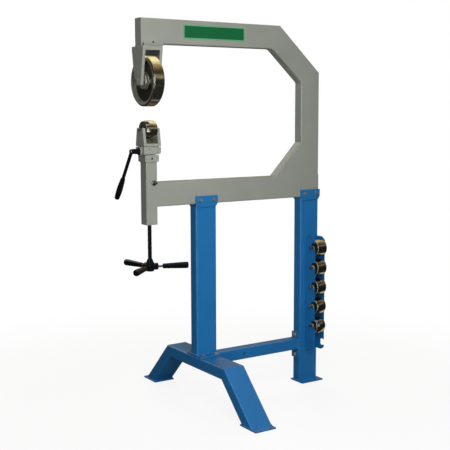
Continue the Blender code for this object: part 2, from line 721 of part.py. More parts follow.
def make_upper_wheel():
    """The flat-faced upper wheel: a thick rim and a hub on a recessed web, on two bearings."""
    pivot = new_pivot("upper_wheel_axis", (0, 0, UPPER_AXIS), MACHINE)
    rim = UPPER_WHEEL_DIAMETER / 2
    face = UPPER_WHEEL_WIDTH / 2
    rim_inside = rim - UPPER_RIM_THICKNESS
    web = UPPER_WEB_THICKNESS / 2
    hub = UPPER_HUB_DIAMETER / 2
    pocket = BEARING_DIAMETER / 2 + FIT_GAP
    pocket_floor = face - BEARING_WIDTH - FIT_GAP
    bore = UPPER_AXLE_DIAMETER / 2 + UPPER_BORE_CLEARANCE
    upper_half = [
        (bore, pocket_floor), (pocket, pocket_floor), (pocket, face), (hub, face),
        (hub + UPPER_RIM_DRAFT, web), (rim_inside - UPPER_RIM_DRAFT, web), (rim_inside, face),
        (rim - UPPER_WHEEL_BEVEL, face), (rim, face - UPPER_WHEEL_BEVEL),
    ]
    lower_half = [(radius, -height) for radius, height in reversed(upper_half)]
    wheel = turned(upper_half + lower_half, WHEEL_STEPS, closed=True)
    axis = (0, 0, UPPER_AXIS)
    part("upper_wheel", STEEL, wheel, pivot, axis, ALONG_X)

    outer = BEARING_DIAMETER / 2
    spacer = BEARING_SPACER_DIAMETER / 2
    seal_width = outer - spacer
    seal_in = spacer + seal_width * BEARING_RACE_SHARE
    seal_out = outer - seal_width * BEARING_RACE_SHARE
    axle = UPPER_AXLE_DIAMETER / 2 + FIT_GAP
    spacer_end = FORK_SPAN / 2 - FORK_PLATE - FIT_GAP
    seal_floor = face - BEARING_GROOVE_DEPTH
    profile = [
        (outer, face), (outer, face - BEARING_WIDTH), (axle, face - BEARING_WIDTH),
        (axle, spacer_end), (spacer, spacer_end), (spacer, face), (seal_in, face),
        (seal_in, seal_floor), (seal_out, seal_floor), (seal_out, face),
    ]
    bearing = turned(profile, SHAFT_STEPS, closed=True)
    part("upper_bearing_front", STEEL, bearing, pivot, axis, AGAINST_X)
    part("upper_bearing_rear", STEEL, bearing, pivot, axis, ALONG_X)


def cam_outline():
    """The cam's edge in Y and Z, as the flat follower feels it.

    At the lever's angle a the side that faces up lies CAM_START_RADIUS + rate * a from the axis,
    so the edge is the envelope of those lines: radius * n + rate * n', with n = (sin a, cos a).
    Past the throw, a straight flank runs from the tip to the base circle.
    """
    rate = CAM_LIFT / CAM_THROW
    edge = []
    for step in range(CAM_STEPS + 1):
        angle = CAM_THROW * step / CAM_STEPS
        radius = CAM_START_RADIUS + rate * angle
        y = radius * math.sin(angle) + rate * math.cos(angle)
        z = radius * math.cos(angle) - rate * math.sin(angle)
        edge.append((y, z))
    tip_radius = math.hypot(*edge[-1])
    tip_angle = CAM_THROW + math.atan2(rate, CAM_START_RADIUS + CAM_LIFT)
    back = tip_angle + math.acos(CAM_START_RADIUS / tip_radius)
    circle = arc((0, 0), CAM_START_RADIUS, QUARTER - back, QUARTER - FULL_TURN, CAM_STEPS)
    return edge + circle, tip_radius


def make_carriage(pivot):
    """The cam housing on its square stem, and the cover behind the cam."""
    front = -YOKE_LENGTH / 2
    cover_front = YOKE_LENGTH / 2 - COVER_THICKNESS
    back = cover_front - FIT_GAP
    middle = (front + back) / 2
    centre = (middle, 0, HOUSING_BOTTOM + HOUSING_HEIGHT / 2)
    body = block(back - front, YOKE_WIDTH, HOUSING_HEIGHT, HOUSING_EDGE)

    stem_length = HOUSING_BOTTOM - STEM_BOTTOM + WELD_DEPTH
    stem = extruded([rounded_rectangle(STEM_WIDTH, STEM_WIDTH, STEM_CORNER)], stem_length)
    boss_length = BOSS_LENGTH + WELD_DEPTH + HOUSING_EDGE
    boss_place = (front - BOSS_LENGTH + boss_length / 2, 0, CAM_AXIS)
    joined = [
        shape(stem, (0, 0, STEM_BOTTOM + stem_length / 2)),
        shape(rod(BOSS_DIAMETER, boss_length, SHAFT_STEPS), boss_place, ALONG_X),
    ]

    reach = cam_outline()[1] + CAM_CAVITY_CLEARANCE
    floor = CAM_AXIS - HOUSING_BOTTOM - HOUSING_FLOOR
    chord = math.asin(min(floor / reach, 1))
    cavity = arc((0, 0), reach, -chord, math.pi + chord, SHAFT_STEPS)
    cavity_front = -CAM_LENGTH / 2 - CAM_END_GAP
    cavity_length = back + OVERRUN - cavity_front
    cavity_x = cavity_front + cavity_length / 2
    window_width = FOLLOWER_WIDTH + 2 * WINDOW_MARGIN
    pin_hole_depth = GUIDE_PIN_LENGTH + WINDOW_MARGIN
    pin_hole = GUIDE_PIN_DIAMETER + 2 * FIT_GAP
    cut = [
        shape(extruded([cavity], cavity_length), (cavity_x, 0, CAM_AXIS), FACING_X),
        shape(block(cavity_length, window_width, 2 * CAM_AXIS_DEPTH), (cavity_x, 0, HOUSING_TOP)),
        shape(rod(FRONT_JOURNAL + 2 * FIT_GAP, 2 * YOKE_LENGTH, SHAFT_STEPS),
              (cavity_front + WELD_DEPTH - YOKE_LENGTH, 0, CAM_AXIS), ALONG_X),
        shape(rod(SCREW_SPIGOT + 2 * FIT_GAP, 2 * SCREW_SPIGOT_LENGTH, SHAFT_STEPS), (0, 0, STEM_BOTTOM)),
        shape(rod(OIL_HOLE, 2 * OIL_HOLE_DEPTH, BOLT_STEPS),
              (-OIL_HOLE_OFFSET, -YOKE_WIDTH / 2, HOUSING_BOTTOM + OIL_HOLE_HEIGHT), FACING_Y),
    ]
    for side in (-1, 1):
        place = (0, side * GUIDE_PIN_SPACING / 2, HOUSING_TOP)
        cut.append(shape(rod(pin_hole, 2 * pin_hole_depth, BOLT_STEPS), place))
    part("cam_housing", FRAME_PAINT, body, pivot, centre, joined=joined, cut=cut)

    height = HOUSING_HEIGHT
    outline = [
        (0, 0), (COVER_THICKNESS - COVER_CHAMFER, 0), (COVER_THICKNESS, COVER_CHAMFER),
        (COVER_THICKNESS, height), (0, height),
    ]
    journal_depth = REAR_JOURNAL_LENGTH + FIT_GAP
    journal = rod(REAR_JOURNAL + 2 * FIT_GAP, 2 * journal_depth, SHAFT_STEPS)
    part("cam_cover", FRAME_PAINT, extruded([outline], YOKE_WIDTH), pivot,
         (cover_front, 0, HOUSING_BOTTOM), FACING_Y,
         cut=[shape(journal, (cover_front, 0, CAM_AXIS), ALONG_X)])


def make_cam_lever(pivot):
    """The cam shaft with its cam, and the lever that hangs from its tapered hub."""
    front = -YOKE_LENGTH / 2 - BOSS_LENGTH
    hub_root = front - FIT_GAP
    hub_end = front - HUB_REACH
    journal_end = -CAM_LENGTH / 2 - CAM_END_GAP - FIT_GAP
    rear_end = YOKE_LENGTH / 2 - COVER_THICKNESS + REAR_JOURNAL_LENGTH
    end_radius = HUB_END_DIAMETER / 2
    shaft = turned([
        (0, rear_end), (REAR_JOURNAL / 2, rear_end), (REAR_JOURNAL / 2, journal_end),
        (FRONT_JOURNAL / 2, journal_end), (FRONT_JOURNAL / 2, hub_root),
        (HUB_ROOT_DIAMETER / 2, hub_root), (end_radius, hub_end + HUB_END_EDGE),
        (end_radius - HUB_END_EDGE, hub_end), (0, hub_end),
    ], SHAFT_STEPS)
    axis = Vector((0, 0, CAM_AXIS))
    cam = shape(extruded([cam_outline()[0]], CAM_LENGTH), axis, FACING_X)
    way = Vector((0, math.sin(LEVER_ANGLE), -math.cos(LEVER_ANGLE)))
    turn = (math.pi + LEVER_ANGLE, 0, 0)
    root = axis + Vector((hub_end + LEVER_INSET, 0, 0))
    socket = rod(LEVER_ROD_DIAMETER + 2 * FIT_GAP, HUB_ROOT_DIAMETER, SHAFT_STEPS)
    socket_centre = root + way * (HUB_ROOT_DIAMETER / 2 - LEVER_SOCKET - FIT_GAP)
    part("cam_shaft", BLACK, shaft, pivot, axis, ALONG_X, joined=[cam],
         cut=[shape(socket, socket_centre, turn)])

    grip_start = LEVER_LENGTH - LEVER_GRIP_LENGTH
    rod_end = grip_start + LEVER_ROD_INSERT
    rod_length = rod_end + LEVER_SOCKET
    rod_centre = root + way * (rod_end - rod_length / 2)
    part("lever_rod", BLACK, rod(LEVER_ROD_DIAMETER, rod_length, SHAFT_STEPS), pivot, rod_centre, turn)

    waist = LEVER_GRIP_LENGTH * GRIP_WAIST_SHARE
    widths = [
        (LEVER_GRIP_END / 2, LEVER_GRIP_LENGTH - LEVER_GRIP_ROUNDING),
        (LEVER_GRIP_WAIST / 2, waist), (LEVER_GRIP_START / 2, 0),
    ]
    grip = grip_mesh(widths, LEVER_GRIP_LENGTH, LEVER_GRIP_ROUNDING, LEVER_ROD_DIAMETER, LEVER_ROD_INSERT)
    part("lever_grip", BLACK, grip, pivot, root + way * grip_start, turn)


def grip_mesh(widths, length, rounding, rod_diameter, insert):
    """A turned handle grip with a rounded end, over a blind bore for its rod."""
    end_radius = widths[0][0]
    crown = arc((end_radius - rounding, length - rounding), rounding, QUARTER, 0, CORNER_STEPS)
    bore = rod_diameter / 2 + FIT_GAP
    bore_end = insert + FIT_GAP
    return turned([(0, length)] + crown + widths[1:] + [(bore, 0), (bore, bore_end), (0, bore_end)], GRIP_STEPS)


def make_screw(pivot):
    """The lift screw with its thrust bearing, and the three-arm crank on its lower end."""
    hub_bottom = CRANK_HUB_TOP - CRANK_HUB_HEIGHT
    shoulder = THRUST_BOTTOM - FIT_GAP
    axis = Vector((0, 0, shoulder))
    radius = SCREW_DIAMETER / 2
    spigot = SCREW_SPIGOT / 2
    profile = [(0, SCREW_SPIGOT_LENGTH), (spigot, SCREW_SPIGOT_LENGTH), (spigot, 0), (radius, 0)]
    profile += [(radius, hub_bottom - shoulder), (0, hub_bottom - shoulder)]
    part("lift_screw", BLACK, turned(profile, SHAFT_STEPS), pivot, axis)

    outer = THRUST_DIAMETER / 2
    bore = spigot + FIT_GAP
    half = THRUST_HEIGHT / 2
    cage = outer - (outer - bore) * BEARING_RACE_SHARE
    split = half * BEARING_RACE_SHARE
    ring = [
        (outer, half), (outer, split), (cage, split), (cage, -split), (outer, -split),
        (outer, -half), (bore, -half), (bore, half),
    ]
    part("thrust_bearing", STEEL, turned(ring, SHAFT_STEPS, closed=True), pivot, (0, 0, THRUST_BOTTOM + half))

    hub_centre = Vector((0, 0, hub_bottom + CRANK_HUB_HEIGHT / 2))
    bosses = []
    holes = [shape(rod(SCREW_DIAMETER + 2 * FIT_GAP, 2 * CRANK_HUB_HEIGHT, SHAFT_STEPS), hub_centre)]
    inner = CRANK_BOSS_REACH - CRANK_SOCKET_DEPTH
    socket = rod(CRANK_ROD_DIAMETER + 2 * FIT_GAP, 2 * CRANK_SOCKET_DEPTH, SHAFT_STEPS)
    length = CRANK_GRIP_END - CRANK_GRIP_START
    widths = [
        (CRANK_GRIP_TIP_DIAMETER / 2, length - CRANK_GRIP_ROUNDING),
        (CRANK_GRIP_TIP_DIAMETER / 2, length * GRIP_SHOULDER_SHARE),
        (CRANK_GRIP_ROOT_DIAMETER / 2, 0),
    ]
    grip = grip_mesh(widths, length, CRANK_GRIP_ROUNDING, CRANK_ROD_DIAMETER, CRANK_ROD_INSERT)
    rod_length = CRANK_GRIP_START + CRANK_ROD_INSERT - inner - FIT_GAP
    arm = rod(CRANK_ROD_DIAMETER, rod_length, BOLT_STEPS)
    for number in range(CRANK_ARMS):
        azimuth = CRANK_AZIMUTH + FULL_TURN * number / CRANK_ARMS
        way = Vector((math.cos(azimuth), math.sin(azimuth), 0))
        turn = (0, QUARTER, azimuth)
        boss = rod(CRANK_BOSS_DIAMETER, CRANK_BOSS_REACH, SHAFT_STEPS)
        bosses.append(shape(boss, hub_centre + way * CRANK_BOSS_REACH / 2, turn))
        holes.append(shape(socket, hub_centre + way * CRANK_BOSS_REACH, turn))
        arm_centre = hub_centre + way * (inner + FIT_GAP + rod_length / 2)
        part(f"crank_rod_{number + 1}", STEEL, arm, pivot, arm_centre, turn)
        part(f"crank_grip_{number + 1}", BLACK, grip, pivot, hub_centre + way * CRANK_GRIP_START, turn)
    neck_top = CRANK_NECK_TOP_DIAMETER / 2
    neck_root = CRANK_NECK_ROOT_DIAMETER / 2
    neck = [(0, CRANK_NECK_HEIGHT), (neck_top, CRANK_NECK_HEIGHT), (neck_root, 0), (neck_root, -WELD_DEPTH), (0, -WELD_DEPTH)]
    bosses.append(shape(turned(neck, SHAFT_STEPS), (0, 0, CRANK_HUB_TOP)))
    hub = rod(CRANK_HUB_DIAMETER, CRANK_HUB_HEIGHT, SHAFT_STEPS)
    part("crank_hub", BLACK, hub, pivot, hub_centre, joined=bosses, cut=holes)


def make_yoke(pivot):
    """The open-topped yoke, with the pad that rides on the cam and two guide pins."""
    base = -YOKE_AXLE_RISE
    top = YOKE_HORN
    section = forked(YOKE_LENGTH, YOKE_PLATE, base + YOKE_PLATE, base, top + OVERRUN)
    wide = YOKE_WIDTH / 2
    narrow = YOKE_TOP_WIDTH / 2 - YOKE_TOP_CORNER
    shoulder = top - YOKE_TOP_CORNER
    silhouette = [(-wide, base - OVERRUN), (wide, base - OVERRUN), (wide, base + YOKE_PLATE)]
    silhouette += arc((narrow, shoulder), YOKE_TOP_CORNER, 0, QUARTER, CORNER_STEPS)
    silhouette += arc((-narrow, shoulder), YOKE_TOP_CORNER, QUARTER, math.pi, CORNER_STEPS)
    silhouette += [(-wide, base + YOKE_PLATE)]
    axis = Vector((0, 0, ANVIL_AXIS))
    bound = shape(extruded([silhouette], YOKE_LENGTH + 2 * OVERRUN), axis, FACING_X)

    slot_radius = ANVIL_AXLE_DIAMETER / 2 + FIT_GAP
    slot = [(slot_radius, top + OVERRUN), (-slot_radius, top + OVERRUN)]
    slot += arc((0, 0), slot_radius, math.pi, FULL_TURN, SHAFT_STEPS // 2)
    opening = shape(extruded([slot], YOKE_LENGTH + 2 * OVERRUN), axis, FACING_X)

    pad_bottom = CAM_AXIS + CAM_START_RADIUS + FIT_GAP
    pad_height = YOKE_BOTTOM + WELD_DEPTH - pad_bottom
    pad = shape(block(FOLLOWER_LENGTH, FOLLOWER_WIDTH, pad_height), (0, 0, pad_bottom + pad_height / 2))
    pin_length = GUIDE_PIN_LENGTH + WELD_DEPTH
    pin_middle = YOKE_BOTTOM + WELD_DEPTH - pin_length / 2
    web_height = YOKE_AXLE_RISE - YOKE_WEB_DROP - YOKE_PLATE + WELD_DEPTH
    web_place = (0, wide - YOKE_WEB_SET - YOKE_WEB / 2, YOKE_BOTTOM + YOKE_PLATE - WELD_DEPTH + web_height / 2)
    joined = [pad, shape(block(YOKE_LENGTH - YOKE_PLATE, YOKE_WEB, web_height), web_place)]
    for side in (-1, 1):
        place = (0, side * GUIDE_PIN_SPACING / 2, pin_middle)
        joined.append(shape(rod(GUIDE_PIN_DIAMETER, pin_length, BOLT_STEPS), place))
    part("yoke", FRAME_PAINT, extruded([section], YOKE_WIDTH + 2 * OVERRUN), pivot, axis, FACING_Y,
         bounded=[bound], joined=joined, cut=[opening])


def anvil_mesh(crown):
    """A lower wheel whose tread is an arc of the crown radius, with its bearing faces at both ends."""
    edge = ANVIL_WIDTH / 2 - ANVIL_BEVEL
    tread = []
    for step in range(CROWN_STEPS + 1):
        height = edge - 2 * edge * step / CROWN_STEPS
        tread.append((ANVIL_DIAMETER / 2 - crown + math.sqrt(crown * crown - height * height), height))
    face = ANVIL_WIDTH / 2
    shoulder = tread[0][0] - ANVIL_BEVEL
    race = ANVIL_RACE_DIAMETER / 2
    bore = ANVIL_AXLE_DIAMETER / 2 + FIT_GAP
    upper_side = [
        (bore, face + ANVIL_RACE_PROUD), (race, face + ANVIL_RACE_PROUD), (race, face), (shoulder, face),
    ]
    lower_side = [(radius, -height) for radius, height in reversed(upper_side)]
    return turned(upper_side + tread + lower_side, ANVIL_STEPS, closed=True)


def axle_mesh():
    """An anvil's axle, with chamfered ends."""
    radius = ANVIL_AXLE_DIAMETER / 2
    end = ANVIL_AXLE_LENGTH / 2
    upper = [(0, end), (radius - ANVIL_AXLE_CHAMFER, end), (radius, end - ANVIL_AXLE_CHAMFER)]
    return turned(upper + [(r, -z) for r, z in reversed(upper)], AXLE_STEPS)


def make_anvils(yoke_pivot):
    """The working anvil in the yoke, and the five spare ones in the rack, by crown."""
    axle = axle_mesh()
    place = (0, 0, ANVIL_AXIS)
    spin = new_pivot("working_anvil_axis", place, yoke_pivot)
    part("working_axle", STEEL, axle, yoke_pivot, place, ALONG_X)
    part("working_anvil", STEEL, anvil_mesh(WORKING_CROWN), spin, place, ALONG_X)
    for number, crown in enumerate(STORED_CROWNS, start=1):
        seat = (RACK_X, -NOTCH_CENTRE, NOTCH_FIRST_SEAT + number * NOTCH_PITCH)
        slide = new_pivot(f"stored_seat_{number}", seat, MACHINE)
        part(f"stored_axle_{number}", STEEL, axle, slide, seat, ALONG_X)
        part(f"stored_anvil_{number}", STEEL, anvil_mesh(crown), slide, seat, ALONG_X)


def make_stand():
    """Cross beam, splayed legs, columns and tie beam."""
    plane = (Vector((FRONT_COLUMN_X, 0, 0)), ACROSS_Y, UP)
    section = (TUBE_DEPTH, TUBE_WIDTH, TUBE_WALL, TUBE_CORNER)
    half = BEAM_UNDERSIDE_LENGTH / 2
    foot_top = FOOT_THICKNESS - WELD_DEPTH
    splay = (BEAM_UNDERSIDE - foot_top) / math.tan(LEG_ANGLE)
    corners = [Vector((side * half, BEAM_UNDERSIDE)) for side in (-1, 1)]
    feet = [Vector((side * (half + splay), foot_top)) for side in (-1, 1)]
    mitre = mitre_slope(feet[0], corners[0], corners[1])
    trim = mitre_trim(mitre)
    level = 1 / math.tan(LEG_ANGLE)
    foot_length = TUBE_WIDTH / math.sin(LEG_ANGLE) + FOOT_INNER_MARGIN + FOOT_OUTER_MARGIN
    plates = []
    for side in (-1, 1):
        y = side * (half + splay - FOOT_INNER_MARGIN + foot_length / 2)
        plate = block(TUBE_DEPTH - 2 * EDGE_SET, foot_length, FOOT_THICKNESS)
        plates.append(shape(plate, (FRONT_COLUMN_X, y, FOOT_THICKNESS / 2)))
    tube("near_leg", STAND_PAINT, plane, feet[0], corners[0], section,
         slopes=(level, mitre), trims=(0, trim), joined=[plates[0]])
    tube("far_leg", STAND_PAINT, plane, corners[1], feet[1], section,
         slopes=(mitre, level), trims=(trim, 0), joined=[plates[1]])
    places = [(FRONT_COLUMN_X + x, y, BEAM_TOP) for x, y in pairs(BASE_BOLT_SPACING, BASE_BOLT_GAUGE)]
    tube("cross_beam", STAND_PAINT, plane, corners[0], corners[1], section,
         slopes=(mitre, mitre), trims=(trim, trim),
         cut=bolt_holes(places, BOLT_HOLE, TUBE_WIDTH, UPRIGHT))
    make_front_column(places)
    make_rear_column()
    make_tie_beam()


def ear_shapes(column_x):
    """The two ears on a column's top and the weld strips that carry them."""
    wide = EAR_LENGTH / 2
    root = EAR_ROOT_LENGTH / 2
    outline = [
        (-wide, EAR_RISE), (-wide, EAR_SHOULDER_RISE), (-root, -EAR_DROP),
        (root, -EAR_DROP), (wide, EAR_SHOULDER_RISE), (wide, EAR_RISE),
    ]
    strip_height = EAR_DROP - FIT_GAP - 2 * EDGE_SET
    strip_middle = ARM_UNDERSIDE - EAR_DROP + EDGE_SET + strip_height / 2
    strip = block(EAR_ROOT_LENGTH - 2 * EDGE_SET, FIT_GAP + 2 * WELD_DEPTH, strip_height)
    shapes = []
    for side in (-1, 1):
        strip_y = side * (TUBE_WIDTH + FIT_GAP) / 2
        ear_y = side * (TUBE_WIDTH / 2 + FIT_GAP + EAR_THICKNESS / 2)
        shapes.append(shape(strip, (column_x, strip_y, strip_middle)))
        shapes.append(shape(extruded([outline], EAR_THICKNESS), (column_x, ear_y, ARM_UNDERSIDE), FACING_Y))
    return shapes


def ear_holes(column_x):
    """Cutters for the two bolts through a pair of ears."""
    places = [(x, 0, ARM_UNDERSIDE + EAR_BOLT_RISE) for x in ear_bolt_xs(column_x)]
    return bolt_holes(places, BOLT_HOLE, 2 * TUBE_DEPTH, FACING_Y)


def column(name, centre_x, bottom, joined, cut):
    """An upright of box tube that stops just under the lower arm, with its ears."""
    plane = (ORIGIN, ACROSS_X, UP)
    section = (TUBE_WIDTH, TUBE_DEPTH, TUBE_WALL, TUBE_CORNER)
    x = centre_x + TUBE_DEPTH / 2
    tube(name, STAND_PAINT, plane, Vector((x, bottom)), Vector((x, ARM_UNDERSIDE - FIT_GAP)), section,
         joined=joined + ear_shapes(centre_x), cut=cut + ear_holes(centre_x))


def make_front_column(bolt_places):
    """The front column on its base flange, bolted down through the cross beam."""
    flange = block(TUBE_DEPTH - 2 * EDGE_SET, BASE_FLANGE_WIDTH, BASE_FLANGE_THICKNESS)
    flange_place = (FRONT_COLUMN_X, 0, BASE_FLANGE_TOP - BASE_FLANGE_THICKNESS / 2)
    holes = bolt_holes(bolt_places, BOLT_HOLE, TUBE_WIDTH, UPRIGHT)
    column("front_column", FRONT_COLUMN_X, BASE_FLANGE_TOP - WELD_DEPTH, [shape(flange, flange_place)], holes)


def tie_bolt_places(x):
    """Where the two bolts of the tie beam's end flange cross a plane of constant X."""
    heights = (TIE_UNDERSIDE - TIE_FLANGE_DROP + TIE_BOLT_MARGIN, TIE_TOP + TIE_FLANGE_RISE - TIE_BOLT_MARGIN)
    return [(x, 0, z) for z in heights]


def make_rear_column():
    """The rear column on its own foot plate."""
    foot_front = THROAT_DEPTH + REAR_FOOT_SETBACK
    foot_back = THROAT_DEPTH + TUBE_DEPTH + REAR_FOOT_TAIL
    foot = block(foot_back - foot_front, REAR_FOOT_WIDTH, FOOT_THICKNESS)
    foot_place = ((foot_front + foot_back) / 2, 0, FOOT_THICKNESS / 2)
    holes = bolt_holes(tie_bolt_places(THROAT_DEPTH), TIE_BOLT_HOLE, TUBE_WIDTH, ALONG_X)
    column("rear_column", REAR_COLUMN_X, FOOT_THICKNESS - WELD_DEPTH, [shape(foot, foot_place)], holes)


def make_tie_beam():
    """The square tube between cross beam and rear column, with its bolted end flange."""
    plane = (ORIGIN, ACROSS_X, UP)
    section = (TUBE_WIDTH, TUBE_WIDTH, TUBE_WALL, TUBE_CORNER)
    start = Vector((FRONT_COLUMN_X + TUBE_DEPTH / 2 + FIT_GAP, TIE_UNDERSIDE))
    flange_front = THROAT_DEPTH - FIT_GAP - TIE_FLANGE_THICKNESS
    end = Vector((flange_front + WELD_DEPTH, TIE_UNDERSIDE))
    height = TIE_FLANGE_DROP + TUBE_WIDTH + TIE_FLANGE_RISE
    middle = TIE_UNDERSIDE - TIE_FLANGE_DROP + height / 2
    flange = block(TIE_FLANGE_THICKNESS, TUBE_WIDTH - 2 * EDGE_SET, height)
    flange_place = (flange_front + TIE_FLANGE_THICKNESS / 2, 0, middle)
    holes = bolt_holes(tie_bolt_places(flange_front), TIE_BOLT_HOLE, TUBE_WIDTH, ALONG_X)
    drain = shape(rod(TIE_HOLE, TUBE_WIDTH, BOLT_STEPS),
                  (TIE_HOLE_X, -TUBE_WIDTH / 2, TIE_UNDERSIDE + TUBE_WIDTH / 2), FACING_Y)
    tube("tie_beam", STAND_PAINT, plane, start, end, section,
         joined=[shape(flange, flange_place)], cut=holes + [drain])


def bolt_mesh(grip, nut, size=1.0):
    """A hex bolt down Z from a washer on z = 0, through a grip, with a nut or a plain tail."""
    below = grip + 2 * FIT_GAP
    tail = BOLT_NUT_HEIGHT + BOLT_TAIL if nut else TIE_BOLT_TAIL
    half_washer = WASHER_THICKNESS / 2
    head_height = size * BOLT_HEAD_HEIGHT + half_washer
    shank = below + tail + half_washer
    additions = [
        (hexagon(size * BOLT_HEAD_WIDTH, head_height), head_height / 2),
        (rod(size * BOLT_DIAMETER, shank, BOLT_STEPS), -shank / 2),
    ]
    if nut:
        nut_middle = -below - half_washer - BOLT_NUT_HEIGHT / 2
        additions.append((hexagon(BOLT_HEAD_WIDTH, BOLT_NUT_HEIGHT), nut_middle))
    return fused(rod(size * WASHER_DIAMETER, WASHER_THICKNESS, SHAFT_STEPS), additions)


def make_bolts():
    """The stand's bolts: through the ears, through the base flange and through the tie flange."""
    seat = FIT_GAP + WASHER_THICKNESS / 2
    ear_face = TUBE_WIDTH / 2 + FIT_GAP + EAR_THICKNESS
    ear_bolt = bolt_mesh(2 * ear_face, nut=True)
    xs = ear_bolt_xs(FRONT_COLUMN_X) + ear_bolt_xs(REAR_COLUMN_X)
    for number, x in enumerate(xs, start=1):
        place = (x, -ear_face - seat, ARM_UNDERSIDE + EAR_BOLT_RISE)
        part(f"ear_bolt_{number}", ZINC, ear_bolt, MACHINE, place, FACING_Y)
    base_bolt = bolt_mesh(BASE_FLANGE_TOP - BEAM_TOP + TUBE_WALL, nut=True)
    for number, (x, y) in enumerate(pairs(BASE_BOLT_SPACING, BASE_BOLT_GAUGE), start=1):
        place = (FRONT_COLUMN_X + x, y, BASE_FLANGE_TOP + seat)
        part(f"base_bolt_{number}", ZINC, base_bolt, MACHINE, place)
    tie_bolt = bolt_mesh(TIE_FLANGE_THICKNESS + TUBE_WALL, nut=False, size=TIE_BOLT_SIZE)
    face = THROAT_DEPTH - FIT_GAP - TIE_FLANGE_THICKNESS
    for number, place in enumerate(tie_bolt_places(face - seat), start=1):
        part(f"tie_bolt_{number}", ZINC, tie_bolt, MACHINE, place, AGAINST_X)


def channel_outline():
    """The rack's section: a channel bent from sheet, its web on the column and its edges to -Y."""
    half = RACK_WIDTH / 2
    root = -TUBE_WIDTH / 2 - FIT_GAP
    bend_x = half - RACK_BEND
    bend_y = root - RACK_BEND
    inner_bend = RACK_BEND - RACK_SHEET
    outside = arc((bend_x, bend_y), RACK_BEND, 0, QUARTER, CORNER_STEPS)
    outside += arc((-bend_x, bend_y), RACK_BEND, QUARTER, math.pi, CORNER_STEPS)
    inside = arc((-bend_x, bend_y), inner_bend, math.pi, QUARTER, CORNER_STEPS)
    inside += arc((bend_x, bend_y), inner_bend, QUARTER, 0, CORNER_STEPS)
    wall = half - RACK_SHEET
    return [(half, -RACK_EDGE)] + outside + [(-half, -RACK_EDGE), (-wall, -RACK_EDGE)] + inside + [(wall, -RACK_EDGE)]


def notch_outline():
    """One J notch in Y and Z, for the first seat: in under the mouth, over the lip, into the hook."""
    centre = (NOTCH_CENTRE, NOTCH_FIRST_SEAT - ANVIL_AXLE_DIAMETER / 2 - FIT_GAP + NOTCH_RADIUS)
    outside = RACK_EDGE + OVERRUN
    back = NOTCH_CENTRE - NOTCH_RADIUS
    points = [(outside, NOTCH_LIP_HEIGHT), (NOTCH_LIP_START, NOTCH_LIP_HEIGHT)]
    points += arc(centre, NOTCH_RADIUS, -NOTCH_RAMP_ANGLE, -math.pi, NOTCH_STEPS)
    points += [(back, NOTCH_MOUTH_HEIGHT - NOTCH_MOUTH_CORNER), (back + NOTCH_MOUTH_CORNER, NOTCH_MOUTH_HEIGHT)]
    points += [(outside, NOTCH_MOUTH_HEIGHT)]
    return [(-y, z) for y, z in points]


def make_rack():
    """The anvil rack: a channel with a row of J notches, sloped off at its top and bottom edge."""
    height = RACK_TOP - RACK_BOTTOM
    through = RACK_WIDTH + 2 * OVERRUN
    cutters = []
    notch = extruded([notch_outline()], through)
    for number in range(NOTCHES):
        cutters.append(shape(notch, (RACK_X, 0, number * NOTCH_PITCH), FACING_X))
    outside = RACK_EDGE + OVERRUN
    lower_grade = RACK_BOTTOM_SLOPE_RISE / (RACK_EDGE - RACK_BOTTOM_SLOPE_START)
    low = RACK_BOTTOM - OVERRUN * lower_grade
    lower = [
        (-RACK_BOTTOM_SLOPE_START + OVERRUN, low), (-outside, low),
        (-outside, RACK_BOTTOM + RACK_BOTTOM_SLOPE_RISE + OVERRUN * lower_grade),
    ]
    upper_grade = RACK_TOP_SLOPE_DROP / RACK_TOP_SLOPE_LENGTH
    high = RACK_TOP + OVERRUN * upper_grade
    upper = [
        (RACK_TOP_SLOPE_LENGTH - RACK_EDGE + OVERRUN, high), (-outside, high),
        (-outside, RACK_TOP - RACK_TOP_SLOPE_DROP - OVERRUN * upper_grade),
    ]
    for slope in (lower, upper):
        cutters.append(shape(extruded([slope], through), (RACK_X, 0, 0), FACING_X))
    part("anvil_rack", STAND_PAINT, extruded([channel_outline()], height), MACHINE,
         (RACK_X, 0, RACK_BOTTOM + height / 2), cut=cutters)


def settle_on_origin():
    """Slides the machine along X until the origin is the centre of its footprint."""
    bpy.context.view_layer.update()
    graph = bpy.context.evaluated_depsgraph_get()
    xs = []
    for node in PARTS.objects:
        if node.type == "MESH":
            solid = node.evaluated_get(graph)
            xs += [(solid.matrix_world @ Vector(corner)).x for corner in solid.bound_box]
    MACHINE.location.x = -(min(xs) + max(xs)) / 2
    bpy.context.view_layer.update()


clear_scene()
PARTS = new_collection("english_wheel")
CUTTERS = new_collection("cutters")
MACHINE = new_pivot("machine", ORIGIN)
FRAME_PAINT = new_finish("grey_green_enamel", (0.26, 0.27, 0.24), 0.45, 0)
STAND_PAINT = new_finish("blue_enamel", (0.014, 0.13, 0.38), 0.4, 0)
STEEL = new_finish("polished_steel", (0.5, 0.49, 0.47), 0.22, 1)
ZINC = new_finish("zinc_plated_steel", (0.6, 0.6, 0.58), 0.35, 1)
BLACK = new_finish("black_plastic", (0.012, 0.012, 0.013), 0.4, 0)

